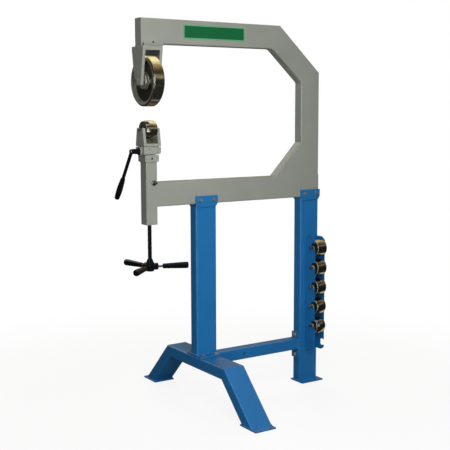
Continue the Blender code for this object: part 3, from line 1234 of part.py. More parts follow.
make_c_frame()
make_post()
make_upper_fork()
make_upper_wheel()
carriage_pivot = new_pivot("carriage_slide", (0, 0, HOUSING_BOTTOM), MACHINE)
make_carriage(carriage_pivot)
make_cam_lever(new_pivot("cam_lever_axis", (0, 0, CAM_AXIS), carriage_pivot))
make_screw(new_pivot("screw_axis", (0, 0, STEM_BOTTOM), carriage_pivot))
yoke_pivot = new_pivot("yoke_slide", (0, 0, YOKE_BOTTOM), carriage_pivot)
make_yoke(yoke_pivot)
make_anvils(yoke_pivot)
make_stand()
make_bolts()
make_rack()
settle_on_origin()
for pivot in PARTS.objects:
    if pivot.type == "EMPTY":
        print(pivot.name, [round(value, 6) for value in pivot.matrix_world.translation])
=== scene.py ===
# %% [markdown]
# # An english wheel
# An english wheel curves sheet metal between a big flat upper wheel and a small crowned lower
# wheel, the anvil. This file dresses the imported solids of one: a grey-green C-frame of box tube
# on a blue bolted stand, with five spare anvils in a rack.
#
# Every new piece is a surface that numpy works out as whole arrays. The solids come from model.glb,
# and their boxes give most of the places, so that nothing has to be fitted by eye.

# %% Load the solids
import math

import bmesh
import bpy
import numpy as np
from mathutils import Matrix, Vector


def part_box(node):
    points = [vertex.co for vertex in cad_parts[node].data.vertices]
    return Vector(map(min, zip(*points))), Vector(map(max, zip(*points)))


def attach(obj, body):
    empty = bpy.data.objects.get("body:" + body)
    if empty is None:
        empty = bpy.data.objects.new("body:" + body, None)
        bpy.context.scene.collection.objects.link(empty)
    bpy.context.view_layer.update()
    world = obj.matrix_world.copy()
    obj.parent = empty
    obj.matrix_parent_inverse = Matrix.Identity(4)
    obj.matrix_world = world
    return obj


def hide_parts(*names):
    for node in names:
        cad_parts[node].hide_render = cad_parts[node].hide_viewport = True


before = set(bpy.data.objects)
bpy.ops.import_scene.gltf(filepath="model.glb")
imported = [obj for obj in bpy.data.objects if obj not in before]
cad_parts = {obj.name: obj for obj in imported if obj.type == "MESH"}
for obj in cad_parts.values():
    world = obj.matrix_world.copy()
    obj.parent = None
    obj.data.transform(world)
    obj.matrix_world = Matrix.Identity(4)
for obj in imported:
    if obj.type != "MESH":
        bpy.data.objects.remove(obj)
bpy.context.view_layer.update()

# %% [markdown]
# The shapes below are written in the machine's own frame: X = 0 is the plane of both wheels,
# +X points to the rear column, -Y to the near side, and z = 0 is the floor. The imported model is
# centred on its footprint, so one shift along X leads from one frame to the other.

# %% Boxes of the solids, in the machine's frame
SHIFT = np.array([(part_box("upper_wheel")[0].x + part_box("upper_wheel")[1].x) / 2, 0, 0])


def span(node):
    """The lowest and the highest corner of a solid."""
    low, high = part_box(node)
    return np.array(low) - SHIFT, np.array(high) - SHIFT


def centre_of(node):
    """The centre of a solid's box, half way between its two corners."""
    low, high = span(node)
    return (low + high) / 2


ARM_LOW = span("upper_arm")[0]
LOWER_LOW, LOWER_HIGH = span("lower_arm")
SPINE_X = span("spine")[0][0]
AXIS = centre_of("upper_wheel")
ANVIL = centre_of("working_anvil")
print("upper axis at", AXIS.round(4), "and anvil axis at", ANVIL.round(4))

# %% [markdown]
# ## Shapes as arrays
# A tube, a plate, a wheel and a handle are all rings of points joined by quads. The helpers
# differ only in how the rings are worked out: an outline carried along, an outline pulled in at
# both ends, or a profile carried round an axis.

# %% Outlines
X, Y, Z = np.eye(3)
FULL = 2 * math.pi


def rounded(corners, radii, steps=6, closed=True):
    """Every corner P of an outline becomes an arc. With a and b the unit vectors to its two
    neighbours and t the angle between them, the arc's centre is P + (a + b) / |a + b| *
    r / sin(t / 2), and its points turn evenly between the two feet of that centre."""
    corners = np.asarray(corners, float)
    radii = np.broadcast_to(radii, len(corners)).astype(float)[:, None] + 1e-8
    a = np.roll(corners, 1, 0) - corners
    b = np.roll(corners, -1, 0) - corners
    a /= np.linalg.norm(a, axis=1, keepdims=True)
    b /= np.linalg.norm(b, axis=1, keepdims=True)
    half = np.arccos(np.clip((a * b).sum(1, keepdims=True), -1, 1)) / 2
    middle = (a + b) / np.linalg.norm(a + b, axis=1, keepdims=True)
    centre = corners + middle * radii / np.sin(half)
    start = corners + a * radii / np.tan(half) - centre
    end = corners + b * radii / np.tan(half) - centre
    u = np.linspace(0, 1, steps + 1)[None, :, None]
    turn = (np.pi - 2 * half)[:, :, None]
    arcs = np.sin((1 - u) * turn) * start[:, None] + np.sin(u * turn) * end[:, None]
    points = centre[:, None] + arcs / np.sin(turn)
    if closed:
        points = points.reshape(-1, 2)
        return points[np.linalg.norm(points - np.roll(points, 1, 0), axis=1) > 1e-6]
    points = np.vstack([corners[:1], points[1:-1].reshape(-1, 2), corners[-1:]])
    return points[np.append(np.linalg.norm(np.diff(points, axis=0), axis=1) > 1e-6, True)]


def rectangle(low, high, radius=0.0, steps=6):
    """A rectangle's outline between two corners, with round corners."""
    (a, b), (c, d) = low, high
    return rounded([(a, b), (c, b), (c, d), (a, d)], radius, steps)


def square(half, radius):
    """A square's outline round the origin, with round corners."""
    return rectangle((-half, -half), (half, half), radius)


def pulled_in(outline, distance):
    """Each point moves along the sum of its two edges' inward normals, divided by one plus their
    product, so that both edges move in by the distance."""
    ahead = np.roll(outline, -1, 0) - outline
    ahead /= np.linalg.norm(ahead, axis=1, keepdims=True)
    beside = np.roll(outline, -1, 0)
    area = (outline[:, 0] * beside[:, 1] - outline[:, 1] * beside[:, 0]).sum()
    inward = np.sign(area) * np.stack([-ahead[:, 1], ahead[:, 0]], 1)
    before = np.roll(inward, 1, 0)
    return outline + (inward + before) / (1 + (inward * before).sum(1, keepdims=True)) * distance


# %% Rings, slabs and turned shapes
def quads(count, width, loop=False, ring=True):
    """Faces between the neighbouring points of a grid of count rows. Point (i, j) has the number
    i * width + j. With loop the last row joins the first, with ring each row closes on itself."""
    i, j = np.meshgrid(np.arange(count - (not loop)), np.arange(width - (not ring)), indexing="ij")
    i, j = i.ravel(), j.ravel()
    row, column = (i + 1) % count * width, (j + 1) % width
    i = i * width
    return np.stack([i + j, i + column, row + column, row + j], 1).tolist()


def loft(rings, loop=False):
    """Quads between neighbouring rings, and a flat face over each end. With loop the last ring
    joins the first instead."""
    rings = np.asarray(rings, float)
    count, width = rings.shape[:2]
    faces = quads(count, width, loop)
    if not loop:
        faces += [list(range(width)), list(range((count - 1) * width, count * width))]
    return rings.reshape(-1, 3), faces


def slab(outline, low, high, edge=0.0008, place=(0, 0, 0), u=X, v=Y, w=Z, steps=3):
    """An outline in the directions u and v, thickened from low to high along w. Over the last
    stretch to each face it pulls in by edge * (1 - sin t) while it rises by edge * (1 - cos t)."""
    t = np.linspace(0, math.pi / 2, steps + 1)
    edge = max(edge, 1e-6)
    rise = edge * (1 - np.cos(t))
    inset = edge * (1 - np.sin(t))
    insets = np.concatenate([inset, inset[::-1]])
    heights = np.concatenate([low + rise, high - rise[::-1]])
    flat = np.stack([pulled_in(outline, distance) for distance in insets])
    rings = flat[..., :1] * u + flat[..., 1:] * v + heights[:, None, None] * w
    return loft(rings + np.asarray(place, float))


def upright(axis):
    """Two directions square to an axis and to each other, so that the three are right-handed."""
    w = np.asarray(axis, float) / np.linalg.norm(axis)
    u = np.cross(Y if abs(w[1]) < 0.9 else Z, w)
    u /= np.linalg.norm(u)
    return u, np.cross(w, u), w


def turned(profile, place=(0, 0, 0), axis=Z, steps=64, loop=False, swell=1.0):
    """A profile of (radius, height) points carried round an axis: radius * swell *
    (u cos a + v sin a) + height * w. The swell may differ by point and by angle."""
    u, v, w = upright(axis)
    a = np.arange(steps)[:, None] * FULL / steps
    circle = np.cos(a) * u + np.sin(a) * v
    profile = np.asarray(profile, float)
    rings = (profile[:, :1] * swell)[..., None] * circle + profile[:, 1, None, None] * w
    return loft(rings + np.asarray(place, float), loop)


def cylinder(radius, low, high, place=(0, 0, 0), axis=Z, edge=0.0005, steps=48):
    """A round bar between two heights along its axis, with rounded end edges."""
    profile = [(0, low), (radius, low), (radius, high), (0, high)]
    return turned(rounded(profile, edge, 3, closed=False), place, axis, steps)


def mirrored(half):
    """A profile's upper half, then its reflection in the plane of height 0."""
    half = np.asarray(half, float)
    return np.vstack([half, half[::-1] * (1, -1)])


# %% Weld beads
BEAD = 0.003  # a bead's radius
RIPPLE = 0.0012  # the way from one of its rings to the next


def weld(path, outward, up=Z, size=BEAD, loop=True):
    """A bead round a path of even points: point + r * (outward cos t + up sin t). The radius r
    swells and shrinks by a tenth every four points, as the puddles of a real bead do."""
    t = np.arange(10) * FULL / 10
    r = size * (1 + 0.1 * np.sin(np.arange(len(path)) * math.pi / 2))[:, None, None]
    spokes = np.cos(t)[:, None] * np.asarray(outward)[..., None, :] + np.sin(t)[:, None] * up
    return loft(path[:, None] + r * spokes, loop)


def seam(outline, height, size=BEAD, u=X, v=Y, w=Z):
    """A bead round a closed outline in the directions u and v, at a height along w. Its points
    lie evenly along the outline's length, and outward is square to the way ahead."""
    closed = np.vstack([outline, outline[:1]])
    far = np.append(0, np.linalg.norm(np.diff(closed, axis=0), axis=1).cumsum())
    at = np.linspace(0, far[-1], int(far[-1] / RIPPLE / 4) * 4, endpoint=False)
    flat = np.stack([np.interp(at, far, closed[:, k]) for k in (0, 1)], 1)
    ahead = np.roll(flat, -1, 0) - np.roll(flat, 1, 0)
    beside = np.roll(flat, -1, 0)
    turn = np.sign((flat[:, 0] * beside[:, 1] - flat[:, 1] * beside[:, 0]).sum())
    outward = turn * np.stack([ahead[:, 1], -ahead[:, 0]], 1)
    outward /= np.linalg.norm(ahead, axis=1, keepdims=True)
    path = flat[:, :1] * u + flat[:, 1:] * v + height * w
    return weld(path, outward[:, :1] * u + outward[:, 1:] * v, w, size)


def straight_weld(start, end, outward):
    """A bead between two points: start + share * (end - start)."""
    start, end = np.asarray(start, float), np.asarray(end, float)
    share = np.linspace(0, 1, int(np.linalg.norm(end - start) / RIPPLE))[:, None]
    return weld(start + share * (end - start), outward, loop=False)


print("helpers for outlines, lofts, slabs, turned shapes and welds are ready")

# %% [markdown]
# ## From arrays to pieces
# A surface may end in a pole, so points that share a place are merged, and all faces are turned
# outward. Weighted normals keep the big flats flat while the small rounded edges catch the light,
# which is what makes painted steel read as steel.

# %% Pieces on bodies
def new_object(name, surfaces):
    """One mesh object from (points, faces) surfaces, closed and facing outward."""
    work = bmesh.new()
    for points, faces in surfaces:
        mesh = bpy.data.meshes.new("surface")
        mesh.from_pydata((points + SHIFT).tolist(), [], faces)
        known = len(work.verts)
        work.from_mesh(mesh)
        bpy.data.meshes.remove(mesh)
        work.verts.ensure_lookup_table()
        bmesh.ops.remove_doubles(work, verts=work.verts[known:], dist=1e-6)
    bmesh.ops.dissolve_degenerate(work, edges=work.edges, dist=1e-7)
    bmesh.ops.recalc_face_normals(work, faces=work.faces)
    mesh = bpy.data.meshes.new(name)
    work.to_mesh(mesh)
    work.free()
    thing = bpy.data.objects.new(name, mesh)
    bpy.context.scene.collection.objects.link(thing)
    return thing


def combined(thing, surfaces, operation):
    """The object after an exact Boolean with other surfaces, made plain mesh again."""
    other = new_object("other", surfaces)
    change = thing.modifiers.new("combined", "BOOLEAN")
    change.object, change.operation, change.solver = other, operation, "EXACT"
    bpy.context.view_layer.update()
    graph = bpy.context.evaluated_depsgraph_get()
    mesh = bpy.data.meshes.new_from_object(thing.evaluated_get(graph))
    thing.modifiers.clear()
    thing.data = mesh
    bpy.data.objects.remove(other)
    return thing


def finished(thing, material, body, nodes, slot, sharp=32.0, bevel=0.0):
    """Shades a piece, hangs it on its body and hides the solids it stands for."""
    thing.data.materials.clear()
    thing.data.materials.append(material)
    thing.data.shade_smooth()
    if bevel:
        edge = thing.modifiers.new("edge", "BEVEL")
        edge.width, edge.segments, edge.limit_method = bevel, 2, "ANGLE"
        edge.angle_limit = math.radians(sharp)
    else:
        thing.data.set_sharp_from_angle(angle=math.radians(sharp))
    weight = thing.modifiers.new("weighted normals", "WEIGHTED_NORMAL")
    weight.keep_sharp = True
    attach(thing, body)
    if nodes:
        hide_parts(*nodes)
    return thing


def piece(name, surfaces, material, body="frame", nodes=(), slot=None, cut=(), keep=(), **more):
    """A finished piece from surfaces. It is cut by the cut surfaces or bounded by the kept ones.
    Without a slot of its own it takes its material's one from SLOTS; the slot is passed on but not
    used."""
    thing = new_object(name, surfaces)
    if len(cut):
        combined(thing, cut, "DIFFERENCE")
    if len(keep):
        combined(thing, keep, "INTERSECT")
    nodes = (nodes,) if isinstance(nodes, str) else nodes
    return finished(thing, material, body, nodes, slot or SLOTS[material.name], **more)


def also(thing, material, chosen):
    """Gives another material to the faces whose centres, in the machine's frame, are chosen."""
    centres = np.array([tuple(face.center) for face in thing.data.polygons]) - SHIFT
    slots = np.empty(len(centres), np.int32)
    thing.data.polygons.foreach_get("material_index", slots)
    slots[chosen(centres)] = len(thing.data.materials)
    thing.data.materials.append(material)
    thing.data.polygons.foreach_set("material_index", slots)
    thing.data.update()
    return thing


# %% [markdown]
# ## Finishes
# The C-frame is mild steel box tube, sprayed with a grey-green machine enamel: a semi-gloss coat
# with a faint orange peel. The stand has the same coat in blue. The wheels are hardened steel,
# ground on the tread, and everything that turns by hand is blacked steel or black plastic.

# %% Colours and nodes
RAMP, MIX = "ShaderNodeValToRGB", "ShaderNodeMix"
BLACK, WHITE = "#000000", "#ffffff"


def linear(colour):
    """An sRGB hex value as linear red, green, blue and alpha."""
    values = np.array([int(colour[i:i + 2], 16) for i in (1, 3, 5)]) / 255
    values = np.where(values < 0.04045, values / 12.92, ((values + 0.055) / 1.055) ** 2.4)
    return (*values.tolist(), 1.0)


def darker(colour, share):
    """An sRGB hex value with each of its three numbers times a share."""
    return "#" + "".join(f"{round(int(colour[i:i + 2], 16) * share):02x}" for i in (1, 3, 5))


def add(tree, kind, inputs=(), stops=(), **settings):
    """Adds a node, sets its properties, and gives its inputs values or other nodes' outputs. A
    ramp's colours run straight between its stops of (position, hex)."""
    made = tree.nodes.new(kind)
    for name, value in settings.items():
        setattr(made, name, value)
    for key, value in dict(inputs).items():
        if isinstance(value, bpy.types.NodeSocket):
            tree.links.new(value, made.inputs[key])
        else:
            made.inputs[key].default_value = value
    for _ in stops[2:]:
        made.color_ramp.elements.new(0.5)
    for number, (position, colour) in enumerate(stops):
        made.color_ramp.elements[number].position = position
        made.color_ramp.elements[number].color = linear(colour)
    return made


def new_material(name, **inputs):
    """A material with its Principled shader, whose plain values go straight on the sockets."""
    material = bpy.data.materials.new(name)
    material.use_nodes = True
    shader = material.node_tree.nodes["Principled BSDF"]
    for key, value in inputs.items():
        shader.inputs[key.replace("_", " ")].default_value = value
    return material, material.node_tree, shader


def pattern(tree, size, centre=(0, 0, 0), stretch=(1, 1, 1), detail=3.0):
    """Noise whose grains are about size metres wide, longer along an axis whose stretch is above
    one. It reads Object coordinates, taken from centre."""
    place = add(tree, "ShaderNodeTexCoord").outputs["Object"]
    scale = [1 / factor for factor in stretch]
    offset = [-c * s for c, s in zip(centre, scale)]
    where = add(tree, "ShaderNodeMapping", {"Vector": place, "Location": offset, "Scale": scale})
    noise = add(tree, "ShaderNodeTexNoise", {"Vector": where.outputs["Vector"], "Scale": 1 / size,
                                             "Detail": detail, "Roughness": 0.55})
    return noise.outputs["Fac"]


# %% [markdown]
# Sprayed enamel is a smooth film over steel that shows two things up close: orange peel, ripples
# some 2 mm across that break up a reflection, and a slow drift of tone where the coat is thinner
# or a hand has rubbed it. A thin glossy coat over the base gives the narrow bright line that runs
# down every rounded edge. The fine scratches are those of a machine that has been moved about.

# %% Enamels
def enamel(name, colour, dirt, bare, roughness):
    """Sprayed machine enamel: a base colour that drifts by a few percent, specks of dirt, fine
    scratches towards a paler tone, and orange peel."""
    material, tree, shader = new_material(name, Roughness=roughness, Coat_Weight=0.5,
                                          Coat_Roughness=0.16)
    drift = pattern(tree, 0.16, detail=4)
    specks = pattern(tree, 0.004, centre=(0.3, 0.2, 0.1), detail=2)
    scratches = pattern(tree, 0.0016, centre=(0.1, 0.4, 0.7), stretch=(9, 3, 40), detail=2)
    clean = [(0.3, darker(colour, 0.95)), (0.7, colour)]
    coat = add(tree, RAMP, {"Fac": drift}, clean).outputs["Color"]
    for marks, tone, stops in ((specks, dirt, [(0.74, BLACK), (0.78, WHITE)]),
                               (scratches, bare, [(0.77, BLACK), (0.81, "#8c8c8c")])):
        share = add(tree, RAMP, {"Fac": marks}, stops).outputs["Color"]
        coat = add(tree, MIX, {0: share, 6: coat, 7: linear(tone)}, data_type="RGBA").outputs[2]
    tree.links.new(coat, shader.inputs["Base Color"])
    peel = add(tree, "ShaderNodeBump", {"Height": pattern(tree, 0.0025, detail=1),
                                        "Distance": 0.00004, "Strength": 0.35})
    tree.links.new(peel.outputs["Normal"], shader.inputs["Normal"])
    return material


GREY = enamel("sprayed_enamel_grey_green", "#989c93", "#7b776a", "#aeb0a6", 0.4)
BLUE = enamel("sprayed_enamel_blue", "#1b72b2", "#24587a", "#5f9fce", 0.36)
GREASY = enamel("greased_enamel", "#7f725c", "#4a3b28", "#8c8676", 0.3)
# A darker enamel for the fork's inside: painted shade under its top plate.
SHADED = enamel("thinly_sprayed_enamel", "#525c60", "#3b3d38", "#6d7577", 0.4)
SIGN_RIM = enamel("enamelled_plate_light_green", "#5fae7c", "#4c8a64", "#8cc7a2", 0.3)
SIGN_FIELD = enamel("enamelled_plate_green", "#0c6539", "#0b5a34", "#3f9a6c", 0.3)
print("enamels:", GREY.name, "and", BLUE.name)

# %% [markdown]
# Ground and polished steel mirrors the room, but each wheel was turned and then ground, so a set
# of very fine grooves runs round it. Real grooves are some 0.05 mm apart. Here they are drawn
# about 0.6 mm apart, which is as coarse as the render needs to show them.

# %% Bare steels
EVEN = (1, 1, 1)


def grained(tree, shader, tone, stops, grain, rough, depth):
    """Colours by one pattern. Another gives the relief, depth metres deep, and the roughness,
    which runs from the low to the high value of rough over the grain's middle part."""
    colour = add(tree, RAMP, {"Fac": tone}, stops).outputs["Color"]
    gloss = add(tree, "ShaderNodeMapRange", {"Value": grain, "From Min": 0.3, "From Max": 0.7,
                                             "To Min": rough[0], "To Max": rough[1]})
    relief = add(tree, "ShaderNodeBump", {"Height": grain, "Distance": depth, "Strength": 1.0})
    tree.links.new(colour, shader.inputs["Base Color"])
    tree.links.new(gloss.outputs["Result"], shader.inputs["Roughness"])
    tree.links.new(relief.outputs["Normal"], shader.inputs["Normal"])


def bare_steel(name, colour, roughness, grooves=0.0006, stretch=(1, 400, 400), depth=0.000004,
               metallic=1.0):
    """Machined steel: grooves square to one axis, and a roughness that varies with them. A film of
    oil and dust scatters light, so a dull face is only partly metallic."""
    material, tree, shader = new_material(name, Metallic=metallic)
    lines = pattern(tree, grooves, stretch=stretch, detail=2)
    stain = pattern(tree, 0.012, detail=4)
    grained(tree, shader, stain, [(0.3, darker(colour, 0.86)), (0.65, colour)], lines,
            (roughness * 0.8, roughness * 1.25), depth)
    return material


TREAD = bare_steel("ground_tool_steel", "#e6e2da", 0.13)
# The ground steel painted darker for the stored anvils and the lock bolt: painted shade that dims
# their reflections.
STORED = bare_steel("oiled_tool_steel", "#a9abab", 0.11)
# A ground steel a little paler than the tread, with a near-white diffuse share: partly the hub's
# ground finish, partly painted highlight.
RIM = bare_steel("ground_chamfer", "#f2eddc", 0.15, metallic=0.85)
# A pale, mostly diffuse steel: painted highlight on the anvils' -X rims and on the rings round
# their axles.
EDGE = bare_steel("worn_edge_of_tool_steel", "#f4ecd2", 0.3, metallic=0.35)
# Turned steel for webs and side faces: rougher than the tread, which is its finish, but painted far
# darker than steel as painted shade.
WEB = bare_steel("turned_tool_steel_web", "#5b5c51", 0.4, 0.0015, EVEN, 0.00003)
FACED = bare_steel("faced_tool_steel", "#9b9a8c", 0.36, 0.0012, EVEN, 0.00002, 0.45)
AXLE = bare_steel("bright_drawn_bar", "#c4c2bd", 0.24, 0.0008, (60, 1, 1))
ZINC = bare_steel("zinc_plated_steel", "#c4c3be", 0.17, 0.001, EVEN, metallic=0.7)
RACE = bare_steel("bearing_race_steel", "#c9c8c4", 0.18)
NUT = bare_steel("cold_drawn_bar", "#8b8a85", 0.35, 0.001, (1, 1, 30))
print("steels:", TREAD.name, "and nine more")

# %% [markdown]
# Blacked steel has a thin oxide skin: nearly black, still glossy where it was polished. Moulded
# phenolic grips are as dark but have no metal in them, so their highlight is sharp. On both it
# looks bluish in the photograph, hence the tint.

# %% Black finishes
def black(name, colour, roughness, grain, depth, level=0.42):
    """A dark skin with a fine grain that shows in the highlight."""
    material, tree, shader = new_material(name, Specular_Tint=linear("#9cbcea"),
                                          Specular_IOR_Level=level)
    spots = pattern(tree, grain, detail=3)
    grained(tree, shader, spots, [(0.3, colour), (0.75, "#131415")], spots,
            (roughness * 0.85, roughness * 1.2), depth)
    return material


OXIDE = black("black_oxide_steel", "#0b0c0d", 0.26, 0.0012, 0.00001)
PHENOLIC = black("moulded_phenolic", "#050506", 0.13, 0.003, 0.000008, level=0.55)
RUBBER = black("ribbed_grip_plastic", "#0a0a0b", 0.36, 0.0009, 0.00003)
SEAL = black("bearing_seal_rubber", "#151515", 0.5, 0.001, 0.00002)

# The slot that a piece of each material fills, by what the piece is made of.
SLOTS = {"frame_enamel": (GREY, SIGN_RIM, SIGN_FIELD), "stand_enamel": (BLUE,),
         "wheel_steel": (TREAD, STORED), "axle_steel": (AXLE,), "zinc_steel": (ZINC,),
         "bearing_steel": (RACE, SEAL), "nut_steel": (NUT,), "black_oxide": (OXIDE,),
         "grip_plastic": (PHENOLIC, RUBBER)}
SLOTS = {material.name: slot for slot, materials in SLOTS.items() for material in materials}
print(len(bpy.data.materials), "materials")

# %% [markdown]
# ## The C-frame
# Four lengths of 4 x 2 inch box tube, mitred and welded, with the welds ground flush. A tube's
# outline is a rectangle with 6 mm corners. At a mitre the outline is laid in the mitre's own
# plane: its height runs along the bisector, stretched so that the depth stays true.

# %% Box tube along a line
HALF_TUBE = 0.0254  # half the tube's narrow side, and half the width of every wheel
TUBE_DEPTH = 0.1016
TUBE_CORNER = 0.006
TUBE = rectangle((-HALF_TUBE, 0), (HALF_TUBE, TUBE_DEPTH), TUBE_CORNER, 8)


def bisector(before, after):
    """The direction of a mitre: (n1 + n2) / (1 + n1 . n2), from both legs' outward normals."""
    n = [np.array([-d[1], d[0]]) / np.linalg.norm(d) for d in np.array([before, after], float)]
    return (n[0] + n[1]) / (1 + n[0] @ n[1])


def box_tube(outline, stations, across=Y, along=X, up=Z, edge=1e-5):
    """The outline carried through stations of (place, outward): place + across * s + outward * h,
    with place and outward in the plane of along and up. Both ends are rounded by edge, which is
    next to nothing where a weld is ground flush."""
    rings = []
    places = [np.asarray(place, float) for place, _ in stations]
    inner = pulled_in(outline, edge)
    for number, (place, outward) in enumerate(stations):
        other = places[1] - places[0] if number == 0 else places[-2] - places[-1]
        shift = other / np.linalg.norm(other) * edge
        plan = [(outline, 0 * shift)]
        if number == 0:
            plan = [(inner, 0 * shift), (outline, shift)]
        elif number == len(stations) - 1:
            plan = [(outline, shift), (inner, 0 * shift)]
        for flat, move in plan:
            spot = places[number] + move
            flat3 = flat[:, :1] * across + flat[:, 1:] * (outward[0] * along + outward[1] * up)
            rings.append(flat3 + spot[0] * along + spot[1] * up)
    return loft(rings)


print("a tube's outline has", len(TUBE), "points")

# %% Arms, diagonal and spine
CUT_ALONG, CUT_DOWN = 0.158, 0.1432  # how far the diagonal cuts into the frame's corner
GROOVE = 0.0064  # the depth of the groove over the lower arm's round edge, which the weld fills
POST_WALL = 0.0228  # the lower arm starts inside the post's wall
UNDER = ARM_LOW[2]
CORNER_A = np.array([SPINE_X - CUT_ALONG, UNDER])
CORNER_B = np.array([SPINE_X, UNDER - CUT_DOWN])
SLOPE = CORNER_B - CORNER_A
MITRE_A = bisector((1, 0), SLOPE)
MITRE_B = bisector(SLOPE, (0, -1))
NOSE = (ARM_LOW[0], UNDER)
FOOT = (SPINE_X, LOWER_HIGH[2] - GROOVE)
HOLE = (0.015, -HALF_TUBE, UNDER + 0.0066)
LOWER_TUBE = rectangle((-HALF_TUBE, LOWER_LOW[2]), (HALF_TUBE, LOWER_HIGH[2]), TUBE_CORNER, 8)
arm = box_tube(TUBE, [(NOSE, (0, 1)), (CORNER_A, MITRE_A)], edge=0.0006)
arm = piece("upper_arm_tube", [arm], GREY, nodes="upper_arm",
            cut=[cylinder(0.0041, -0.007, 0.01, HOLE, -Y)])
arm.visible_glossy = False
piece("upper_diagonal_tube", [box_tube(TUBE, [(CORNER_A, MITRE_A), (CORNER_B, MITRE_B)])], GREY,
      nodes="upper_diagonal")
piece("spine_tube", [box_tube(TUBE, [(CORNER_B, MITRE_B), (FOOT, (1, 0))])], GREY, nodes="spine")
piece("lower_arm_tube", [slab(LOWER_TUBE, POST_WALL, LOWER_HIGH[0], 0.0006, u=Y, v=Z, w=X)], GREY,
      nodes="lower_arm")
print("C-frame from", NOSE, "to", FOOT)


# %% Fillets in the throat's inner corners
def throat_fillet(corner, before, after, size):
    """The weld that fills an inner corner: an arc that touches both walls at the distance size."""
    before, after = (np.array(d, float) / np.linalg.norm(d) for d in (before, after))
    half = np.arccos(before @ after) / 2
    ends = np.array([corner + before * 3 * size, corner, corner + after * 3 * size])
    arc = rounded(ends, size * math.tan(half), 8, closed=False)[1:-1]
    outline = np.vstack([arc, [corner - (before + after) * 0.004]])
    return slab(outline, -0.0212, 0.0212, 0.0004, u=X, v=Z, w=Y)


piece("throat_fillets", [throat_fillet(CORNER_A, (-1, 0), SLOPE, 0.011),
                         throat_fillet(CORNER_B, -SLOPE, (0, -1), 0.008)], GREY)
print("fillets at", CORNER_A.round(4), "and", CORNER_B.round(4))

# %% [markdown]
# The sign on the arm stays bare: an enamelled plate with a paler rim and nothing on it.

# %% Sign plate
SIGN = np.array([(0.1561, 1.5563), (0.4581, 1.613)])  # two corners, in X and Z
RIM_WIDTH = 0.0045
field = SIGN + np.array([(RIM_WIDTH, RIM_WIDTH), (-RIM_WIDTH, -RIM_WIDTH)])
piece("sign_plate_rim", [slab(rectangle(*SIGN, 0.004), 0.0252, 0.0261, 0.0002, u=X, v=Z, w=-Y)],
      SIGN_RIM)
piece("sign_plate_field", [slab(rectangle(*field, 0.003), 0.0255, 0.0264, 0.0002, u=X, v=Z, w=-Y)],
      SIGN_FIELD)
print("sign plate of", (SIGN[1] - SIGN[0]).round(4))

# %% [markdown]
# The gusset is a short piece of the same tube, cut to a triangle: its slope keeps the tube's
# round edges. So it is made as it was cut, by keeping what a triangle and a sloping tube share.

# %% Throat gusset
GUSSET_LOW, GUSSET_HIGH = span("throat_gusset")
PAST = 0.05  # the sloping tube runs past the triangle by this much at both ends
top_point = np.array([SPINE_X, GUSSET_HIGH[2]])
low_point = np.array([GUSSET_LOW[0], LOWER_HIGH[2]])
way = (low_point - top_point) / np.linalg.norm(low_point - top_point)
normal = np.array([way[1], -way[0]])  # outward, towards the throat
deep = rectangle((-0.02538, -0.25), (0.02538, 0), TUBE_CORNER, 8)
slope_tube = box_tube(deep, [(top_point - way * PAST, normal), (low_point + way * PAST, normal)],
                      edge=0.0008)
triangle = np.array([(SPINE_X + 0.006, GUSSET_HIGH[2] + 0.0064),
                     (low_point[0] - 0.0057, LOWER_HIGH[2] - 0.006),
                     (SPINE_X + 0.006, LOWER_HIGH[2] - 0.006)])
piece("throat_gusset_box", [slope_tube], GREY, nodes="throat_gusset",
      keep=[slab(triangle, -0.03, 0.03, 0, u=X, v=Z, w=Y)])
print("gusset slope", way.round(3))

# %% [markdown]
# The front post is square tube, open at its ends, with a machined collar round its mouth. A
# sleeve is a loop of four outlines: outside low, outside high, inside high, inside low.

# %% Post, collar and nut
def sleeve(outer, inner, low, high, edge=0.0006):
    """Two outlines with the same number of points, joined over both ends by rounded rims."""
    rings = [(outer, low + edge, 0), (outer, high - edge, 0), (outer, high, edge),
             (inner, high, -edge), (inner, high - edge, 0), (inner, low + edge, 0),
             (inner, low, -edge), (outer, low, edge)]
    flat = np.stack([np.column_stack([pulled_in(line, inset), np.full(len(line), height)])
                     for line, height, inset in rings])
    return loft(flat, loop=True)


MOUTH_LINE = 0.0016  # the collar ends this much lower, so that a line shows over it
POST_LOW, POST_HIGH = span("front_post")
COLLAR_LOW, COLLAR_HIGH = span("post_collar")
NUT_LOW, NUT_HIGH = span("nut_block")
POST = square(HALF_TUBE, 0.003)
piece("front_post_tube", [sleeve(POST, square(0.01935, 0.001), POST_LOW[2], POST_HIGH[2]),
                          seam(POST, COLLAR_LOW[2], 0.0026)], GREY, nodes="front_post")
collar_hole = np.array([0.0, COLLAR_LOW[1], POST_HIGH[2] - 0.014])
hole_flare = [(0, -0.02), (0.00435, -0.02), (0.00435, -0.0006), (0.0055, 0.0006), (0.0055, 0.01),
              (0, 0.01)]
collar = sleeve(square(0.03175, 0.0025), square(0.0256, 0.001), COLLAR_LOW[2],
                COLLAR_HIGH[2] - MOUTH_LINE)
piece("post_collar_ring", [collar], GREY, nodes="post_collar",
      cut=[turned(hole_flare, collar_hole, -Y, 32)])
piece("screw_nut", [slab(square(0.01905, 0.002), NUT_LOW[2], NUT_HIGH[2])], NUT,
      nodes="nut_block", cut=[cylinder(0.0093, NUT_LOW[2] - 0.01, NUT_HIGH[2] + 0.01)])
print("post from", POST_LOW[2].round(4), "to", POST_HIGH[2].round(4))

# %% [markdown]
# A hex head is a prism cut by a cone. At the angle a its radius is r(a) = half width / cos(a'),
# with a' the angle from the nearest flat, and the cone meets that radius lower down by
# (r(a) - half width) * tan 30 degrees. That one line of arithmetic draws the arcs on each flat.

